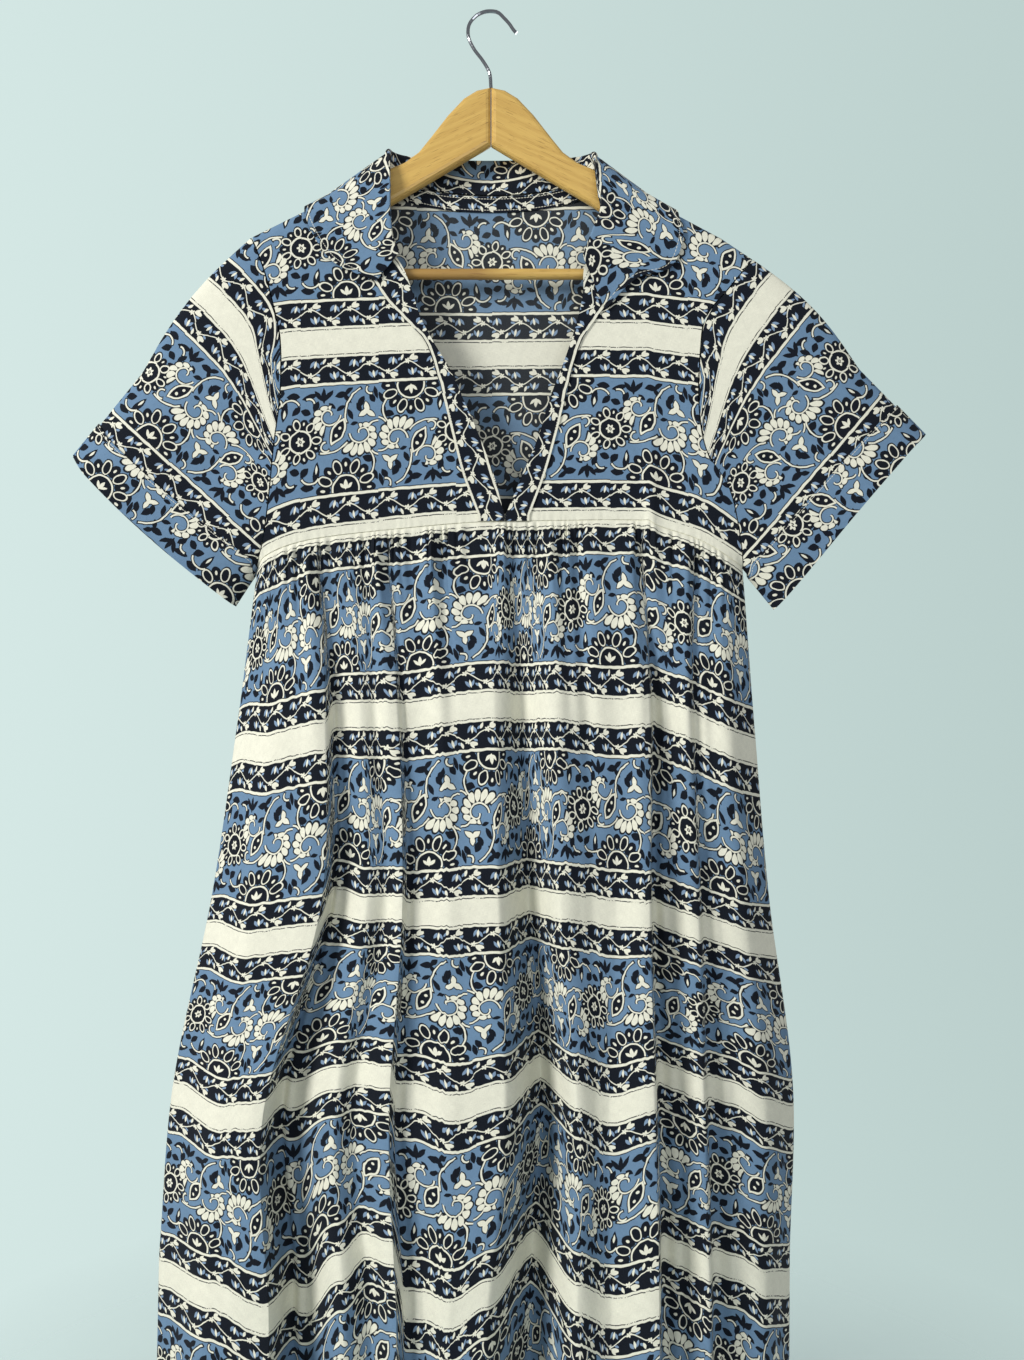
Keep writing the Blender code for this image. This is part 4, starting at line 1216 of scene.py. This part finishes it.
def cloth_sheet(name, points, flat, stitched=None, closed=False, outside=(0, -1, 0)):
    """A sheet through a grid of points, laid out flat at the places in flat."""
    rows, columns = points.shape[:2]
    loop = columns - 1 if closed else columns
    corners = [(0, 0), (1, 0), (1, 1), (0, 1)]
    cells = [(j, i) for j in range(rows - 1) for i in range(columns - 1)]
    picks = np.array([[(j + dj, i + di) for dj, di in corners] for j, i in cells])
    faces = picks[:, :, 0] * loop + picks[:, :, 1] % loop
    places = points[:, :loop].reshape(-1, 3) * MM
    across = places[faces[:, 2]] - places[faces[:, 0]]
    down = places[faces[:, 3]] - places[faces[:, 1]]
    normals = np.cross(across, down)
    away = places[faces].mean(axis=1) - places.mean(axis=0) if closed else np.array(outside)
    if (normals * away).sum() < 0:
        faces, picks = faces[:, ::-1], picks[:, ::-1]
    mesh = bpy.data.meshes.new(name)
    mesh.from_pydata(places.tolist(), [], faces.tolist())
    if stitched is None:
        stitched = np.full((rows, columns, 2), FAR)
    for map_name, values in (("cloth", flat), ("edge", stitched)):
        layer = mesh.uv_layers.new(name=map_name)
        chosen = values[picks[:, :, 0], picks[:, :, 1]] * MM
        layer.uv.foreach_set("vector", chosen.reshape(-1).astype(np.float32))
    sheet = bpy.data.objects.new(name + "_cloth", mesh)
    bpy.context.scene.collection.objects.link(sheet)
    mesh.materials.append(COTTON)
    mesh.materials.append(COTTON_INSIDE)
    thicken(sheet)
    area = flat_area(flat)
    print(name, "triangles:", triangle_count(sheet), "cut area:", round(area, 4), "m2")
    return sheet


def thicken(sheet):
    """Gives the sheet its wall, the inner face in the second material, and smooth shading."""
    bpy.ops.object.select_all(action="DESELECT")
    sheet.select_set(True)
    bpy.context.view_layer.objects.active = sheet
    wall = sheet.modifiers.new("wall", "SOLIDIFY")
    wall.thickness = WALL * MM
    wall.offset = 0
    wall.material_offset = 1
    bpy.ops.object.modifier_apply(modifier=wall.name)
    sheet.data.shade_smooth()
    sheet.data.set_sharp_from_angle(angle=math.radians(60))


# %% What a sheet measures and prints


def flat_area(flat):
    """Area in square metres of a grid laid flat, in millimetres."""
    a = flat[1:, 1:] - flat[:-1, :-1]
    b = flat[1:, :-1] - flat[:-1, 1:]
    return float(np.abs(a[..., 0] * b[..., 1] - a[..., 1] * b[..., 0]).sum() / 2) * MM * MM


def triangle_count(piece):
    return sum(len(face.vertices) - 2 for face in piece.data.polygons)


def declare(sheet, flat, nodes):
    """The sheet rides on the hanger's body, hides the solids that it stands for and prints the size of
    its cut.
    """
    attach(sheet, "root")
    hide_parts(*nodes)
    width = float(np.ptp(flat[..., 0])) * MM
    length = float(np.ptp(flat[..., 1])) * MM
    print(sheet.name, "cut:", round(width, 3), "by", round(length, 3), "m")


print("cloth wall:", WALL, "mm")
# %% [markdown]
# ## Bodice
#
# Two fronts and a back are sewn to each other at the shoulders and sides, and the gathered skirt
# hangs from their lower edge. The print runs level across them, and follows the seam at the bottom.

# %% Bodice panels and where they are cut from the print
PRINT_AT_SEAM = 148.0
SEAM_MIDDLE_DROP = 512.0
BACK_PRINT_LEVEL = 295.0


def seam_follow(x, drop):
    """How much lower the print lies here than at the centre, because it is cut along the seam."""
    height = max(SEAM_MIDDLE_DROP - drop, 0)
    return (read(YOKE, x) - SEAM_MIDDLE_DROP) * (0.3 + 0.7 * math.exp(-height / 110))


def front_flat(x, drop, shift):
    return (x + shift, PRINT_AT_SEAM + SEAM_MIDDLE_DROP + seam_follow(x, drop) - drop)


def pucker(x, height):
    """How far the plain band stands out in small puckers, just above the gathered seam."""
    turn = x / 2.7 + 2.3 * math.sin(x / 11) + 1.4 * math.sin(x / 4.3 + 1)
    reach = 7 + 4 * math.sin(x / 7.7)
    return 0.75 * (abs(math.sin(turn)) - 0.6) * math.exp(-max(height, 0) / reach)


def bodice_panel(name, place_of, side, flat_of):
    places = np.array([[place_of(s, t) for s in even(150)] for t in DOWN_BODICE])
    points = np.array([
        [on_bodice(x, drop, side, pucker(x, yoke(x, side) - drop)) for x, drop in row]
        for row in places
    ])
    flat = np.array([[flat_of(x, drop) for x, drop in row] for row in places])
    sheet = cloth_sheet(name, points, flat, outside=(0, side, 0))
    declare(sheet, flat, [name])
    return sheet


DOWN_BODICE = even(6, 0, 0.03)[:-1] + even(90, 0.03, 0.94)[:-1] + even(16, 0.94, 1)
for name, hand, shift in (("bodice_front_left", -1, 185), ("bodice_front_right", 1, -118)):
    bodice_panel(
        name, lambda s, t: front_place(hand, s, t), -1, lambda x, drop: front_flat(x, drop, shift)
    )
bodice_panel("bodice_back", back_place, 1, lambda x, drop: (-x, BACK_PRINT_LEVEL - drop))

# %% Turned-out facings along the V and the strip inside the back neck
# where each strip's first edge lies on the print, up from the start of a repeat
PLACKET_PRINT = 102.5
NECK_STRIP_PRINT = 122.0


def placket_point(hand, drop, s, out=LAYER):
    fold, edge = (1, 2) if hand < 0 else (3, 4)
    x = read(NECK_V, drop, fold) * (1 - s) + read(NECK_V, drop, edge) * s
    level = drop + 24 * s * clamp((330 - drop) / 80)
    return on_bodice(x, level, -1, out)


def placket(name, hand):
    """A facing strip turned out along the V, rolled round the front's own edge."""
    drops = even(90, 250, V_DROP)
    across = even(14)
    points = grid_points(lambda s, drop: placket_point(hand, drop, s), across, drops)
    along = run_lengths(points, 0)[:, :1] * np.ones((1, len(across)))
    over = run_lengths(points, 1)
    width = over[:, -1:]
    flat = np.stack([along, PLACKET_PRINT + width - over], axis=2)
    sheet = cloth_sheet(name, points, flat, np.stack([along, width - over], axis=2))
    declare(sheet, flat, [name])
    return sheet


def neck_strip():
    xs = even(120, -88, 88)
    downs = even(10, 1.5, 17)
    points = np.array([
        [on_bodice(x, read(BACK_NECK, x) + down, 1, -LAYER) for x in xs] for down in downs
    ])
    along = run_lengths(points, 1)
    over = run_lengths(points, 0)
    flat = np.stack([along, NECK_STRIP_PRINT - over], axis=2)
    nearest = np.minimum(over, over[-1:] - over)
    sheet = cloth_sheet("neck_strip", points, flat, np.stack([along, nearest], axis=2))
    declare(sheet, flat, ["neck_strip"])
    return sheet


placket("placket_left", -1)
placket("placket_right", 1)
neck_strip()

# %% Collar
COLLAR_PRINT = 8.0


def collar():
    """The turned-down collar, one piece round the neck."""
    across = even(160)
    profile = even(10, 0, ROLL_START)[:-1] + even(10, ROLL_START, ROLL_END)[:-1]
    profile += even(22, ROLL_END, 1)
    points = np.array([[collar_point(place, v) for place in across] for v in profile])
    over = run_lengths(points, 0)
    along = run_lengths(points, 1)[16:17] * np.ones((len(profile), 1))
    flat = np.stack([along, COLLAR_PRINT + over[-1:] - over], axis=2)
    stitched = np.stack([along, over[-1:] - over - 2], axis=2)
    sheet = cloth_sheet("collar", points, flat, stitched, outside=(0, 0, 1))
    declare(sheet, flat, ["collar"])
    return sheet


collar()

# %% Sleeves and their turned-up cuffs
HEM_CORNER = {-1: (-406, 449), 1: (423, 429)}
HEM_WAY = {-1: (0.738, 0.675), 1: (-0.648, 0.762)}
SLEEVE_FIELD_START = 58.5
SLEEVE_BEND = {-1: 200, 1: 80}
CUFF_PRINT = 68.0


def sleeve_flat(hand, x, drop, side, bent=True):
    """Along the hem (the back continues over the top fold) and up from the hem."""
    corner, way = HEM_CORNER[hand], HEM_WAY[hand]
    dx, dd = x - corner[0], drop - corner[1]
    along = dx * way[0] + dd * way[1]
    up = -dd * abs(way[0]) - dx * way[1] * hand
    if bent:
        near = clamp((up - 60) / 140) ** 4
        up += near * (SLEEVE_BEND[hand] * (max(along, 0) / 115) ** 4 + 0.08 * max(along, 0))
    return (along if side < 0 else -along, up - SLEEVE_FIELD_START)


def sleeve_ring(count):
    """Places round a sleeve: down its front and up its back, closer at the two folds."""
    near = [0.0, 0.0018, 0.0036, 0.0073, 0.0125]
    front = near + even(count, 0.02, 0.98) + [1 - q for q in reversed(near)]
    return [(q, -1) for q in front] + [(q, 1) for q in reversed(front[:-1])]


def sleeve(name, hand):
    ring = sleeve_ring(54)
    down = even(52, 0, 0.99)
    points = np.array([[sleeve_point(hand, q, v, side) for q, side in ring] for v in down])
    flat, cut = (
        np.array([
            [sleeve_flat(hand, p[0], -p[2], side, bent) for p, (q, side) in zip(row, ring)]
            for row in points
        ])
        for bent in (True, False)
    )
    sheet = cloth_sheet(name, points, flat, closed=True)
    declare(sheet, cut, [name])
    return sheet


def cuff(name, hand):
    """The turned-up band: the sleeve's own points moved out by one layer."""
    ring = sleeve_ring(54)

    def place(q, side, down):
        length = math.dist(*sleeve_line(hand, q))
        width = min(40 + 8 * q, 0.78 * length)
        return sleeve_point(hand, q, 1 - width / length * (1 - down), side, LAYER + 0.2)

    points = np.array([[place(q, side, down) for q, side in ring] for down in even(16)])
    flat = np.array([
        [sleeve_flat(hand, p[0], -p[2], side) for p, (q, side) in zip(row, ring)]
        for row in points
    ])
    flat[..., 1] += CUFF_PRINT
    stitched = np.stack([run_lengths(points, 1), run_lengths(points, 0)], axis=2)
    sheet = cloth_sheet(name, points, flat, stitched, closed=True)
    declare(sheet, flat, [name])
    return sheet


sleeve("sleeve_left", -1)
sleeve("sleeve_right", 1)
cuff("cuff_left", -1)
cuff("cuff_right", 1)

# %% [markdown]
# ## Skirt
#
# The tier is far wider than the seam that it hangs from. Most of it lies in view, and the rest is
# hidden behind the sharp edges of the long folds. The tables say how much cloth there is from fold
# to fold, and how much lower its level bands hang there, so the print breaks at each fold.

# %% How the cloth lies in the folds
# millimetres of cloth from each front fold to the next, hidden cloth too, above and near the hem
CLOTH_START = -312.0
CLOTH_ABOVE = (52, 67, 74, 31, 53, 15, 51, 42, 37, 70, 88, 79, 38, 45, 33, 32, 25, 36)
CLOTH_BELOW = (68, 62, 50, 46, 36, 27, 40, 40, 40, 78, 80, 60, 44, 42, 32, 38, 32, 50)


def fold_span(c):
    """Which two front folds a place across lies between, and how far along."""
    place = c * len(CLOTH_ABOVE)
    i = min(int(place), len(CLOTH_ABOVE) - 1)
    return i, place - i


def cloth_place(c, drop):
    """The place across the cut front of the tier at a place across its folds."""
    i, u = fold_span(c)
    lines = fold_lines(FRONT_FOLDS, drop)
    seen = 1.05 * (lines[i + 1][0] - lines[i][0])
    places = []
    for cloth in (CLOTH_ABOVE, CLOTH_BELOW):
        hidden = clamp(1 - seen / cloth[i]) if lines[i + 1][2] else 0
        places.append(sum(cloth[:i]) + (hidden * smooth(u / STEP_SHARE) + (1 - hidden) * u) * cloth[i])
    return CLOTH_START + places[0] + (places[1] - places[0]) * smooth((drop - 860) / 260)


# how far the print lies lower at each fold, at the last four of FOLD_LEVELS
PRINT_LOWER = (
    (4, 7, -20, -30), (15, 20, -8, -34), (16, 21, 0, -2), (-3, -10, -5, 4),
    (0, -3, -40, -54), (2, -1, -42, -72), (5, 0, -44, -76), (5, 8, -14, -10),
    (4, 10, -2, -6), (4, 11, -13, -24), (3, 4, -25, -42), (4, 6, -11, -17),
    (12, 16, 8, 3), (10, 16, -9, -13), (6, 16, -29, -54), (4, 16, -32, -58),
    (3, 13, -29, -54), (2, 12, -19, -45), (1, 12, 0, -26),
)


def print_lower(c, drop):
    """The print's shift at a place across the front, so that its bands bend as in the photo."""
    i, u = fold_span(c)
    sharp = fold_lines(FRONT_FOLDS, drop)[i + 1][2]
    u = smooth(u / STEP_SHARE) if sharp else smooth(u)
    rows = [(FOLD_LEVELS[0], 0)]
    for level, a, b in zip(FOLD_LEVELS[1:], PRINT_LOWER[i], PRINT_LOWER[i + 1]):
        rows.append((level, a + (b - a) * u))
    return 0.96 * read(rows, drop)


print("front tier:", sum(CLOTH_ABOVE), "mm of cloth from side to side")

# %% Skirt panels
PRINT_BELOW_SEAM = 139.0
HEM_STITCHED = 20.0


def columns_of(folds, count):
    """Places across a panel, closer together where the folds are close."""
    top, middle = fold_lines(folds, FOLD_LEVELS[0]), fold_lines(folds, FOLD_LEVELS[2])
    spans = len(top) - 1
    marks = [a[0] + b[0] for a, b in zip(top, middle)]
    across = []
    for n in range(count + 1):
        mark = marks[0] + (marks[-1] - marks[0]) * n / count
        i = min(max(k for k in range(spans) if marks[k] <= mark + 1e-9), spans - 1)
        across.append((i + (mark - marks[i]) / (marks[i + 1] - marks[i])) / spans)
    return across


def cloth_along(across, drops, run):
    """Places on the cloth at each fold, and by plain length round the two sides."""
    along = np.array([[cloth_place(c, d) for c, d in zip(across, row)] for row in drops])
    first = int(np.searchsorted(across, 1 / len(CLOTH_ABOVE)))
    last = int(np.searchsorted(across, 1 - 1 / len(CLOTH_ABOVE)))
    along[:, :first] = along[:, first : first + 1] - run[first] + run[:first]
    along[:, last:] = along[:, last : last + 1] - run[last] + run[last:]
    return along


def skirt(name, folds, side, count, rows):
    """One panel of the tier: close gathers at the seam that run out into the large folds."""
    across = columns_of(folds, count)
    down = even(20, 0, 0.05)[:-1] + even(rows, 0.05, 1)
    points = grid_points(lambda c, r: skirt_point(folds, side, c, r), across, down)
    level = int(0.45 * len(down))
    along = run_lengths(points, 1)[level : level + 1]
    if side < 0:
        along = cloth_along(across, -points[..., 2], along[0])
    along = along * np.ones((len(down), 1))
    over = run_lengths(points, 0)
    cut = np.stack([along, PRINT_BELOW_SEAM + TUCKED_IN - over], axis=2)
    flat = cut.copy()
    if side < 0:
        drops = -points[..., 2]
        flat[..., 1] += [[print_lower(c, d) for c, d in zip(across, row)] for row in drops]
    from_hem = over[-1:] - over - HEM_STITCHED
    stitched = np.stack([along, from_hem], axis=2)
    sheet = cloth_sheet(name, points, flat, stitched, outside=(0, side, 0))
    declare(sheet, cut, [name])
    return sheet


skirt("skirt_front", FRONT_FOLDS, -1, 376, 98)
skirt("skirt_back", BACK_FOLDS, 1, 320, 96)

# %% [markdown]
# ## Wood and wire
#
# The hanger is clear-varnished honey-coloured wood. Its grain runs along each arm, so the pattern
# is sheared to follow the slope of the arms before a stretched noise draws the long lines. The bar
# has a brown stain on its left part. The hook is bright wire with faint polishing marks.

# %% Wood


def hanger_material(name):
    made = bpy.data.materials.new(name)
    made.use_nodes = True
    ink = Inks(made.node_tree)
    place = ink.node("ShaderNodeTexCoord").outputs["Object"]
    split = ink.node("ShaderNodeSeparateXYZ")
    ink.feed(split.inputs[0], place)
    return made, ink, made.node_tree.nodes["Principled BSDF"], split.outputs


def noise_at(ink, place, scale, detail):
    return ink.noise(ink.vector("MULTIPLY", place, scale), 1, detail, flat=False)


def wood(name, slope, stained):
    made, ink, shader, (x, y, z) = hanger_material(name)
    level = ink.times_plus(ink.absolute(x), slope, z)
    lie = ink.node("ShaderNodeCombineXYZ")
    for socket, value in zip(lie.inputs, (x, y, level)):
        ink.feed(socket, value)
    lie = lie.outputs[0]
    drift = noise_at(ink, lie, (4, 12, 30), 2)
    rings = ink.times_plus(level, 700, ink.times(drift, 34))
    rings = ink.times_plus(ink.maths("SINE", rings), 0.5, 0.5)
    pores = noise_at(ink, lie, (45, 700, 1500), 3)
    grain = ink.times_plus(rings, 0.30, ink.times(pores, 0.62), limit=True)
    colour = ink.choose(grain, linear(224, 188, 106), linear(190, 150, 78), "RGBA")
    specks = ink.times_plus(noise_at(ink, lie, (70, 800, 1300), 1), 14, -8.9, limit=True)
    colour = ink.choose(ink.times(specks, 0.55), colour, linear(126, 86, 42), "RGBA")
    if stained:
        patch = ink.times_plus(x, -26, ink.times(drift, 1.1), limit=True)
        patch = ink.times(patch, 0.55)
        colour = ink.choose(patch, colour, linear(122, 80, 44), "RGBA")
    ink.feed(shader.inputs["Base Color"], colour)
    ink.feed(shader.inputs["Roughness"], ink.times_plus(pores, 0.3, 0.22))
    shader.inputs["Specular IOR Level"].default_value = 0.45
    ink.bump(shader, ink.times(grain, -1), 0.25)
    return made


# %% Bright wire


def chrome(name):
    made, ink, shader, (x, y, z) = hanger_material(name)
    place = ink.point(x, z)
    marks = noise_at(ink, place, (60, 60, 1), 1)
    tone = ink.choose(marks, linear(158, 162, 168), linear(140, 144, 150), "RGBA")
    ink.feed(shader.inputs["Base Color"], tone)
    ink.feed(shader.inputs["Roughness"], ink.times_plus(marks, 0.10, 0.05))
    shader.inputs["Metallic"].default_value = 1.0
    return made


# %% Finish of each hanger piece
WOOD = wood("honey_wood_grain", 0.47, False)
BAR_WOOD = wood("stained_bar_wood", 0.0, True)
CHROME = chrome("bright_chrome")
for name, finish in (
    ("hanger_arm_left", WOOD), ("hanger_arm_right", WOOD), ("hanger_bar", BAR_WOOD),
    ("hanger_hook", CHROME),
):
    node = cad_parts[name]
    node.data.materials.clear()
    node.data.materials.append(finish)
    print(name, "finish:", finish.name)
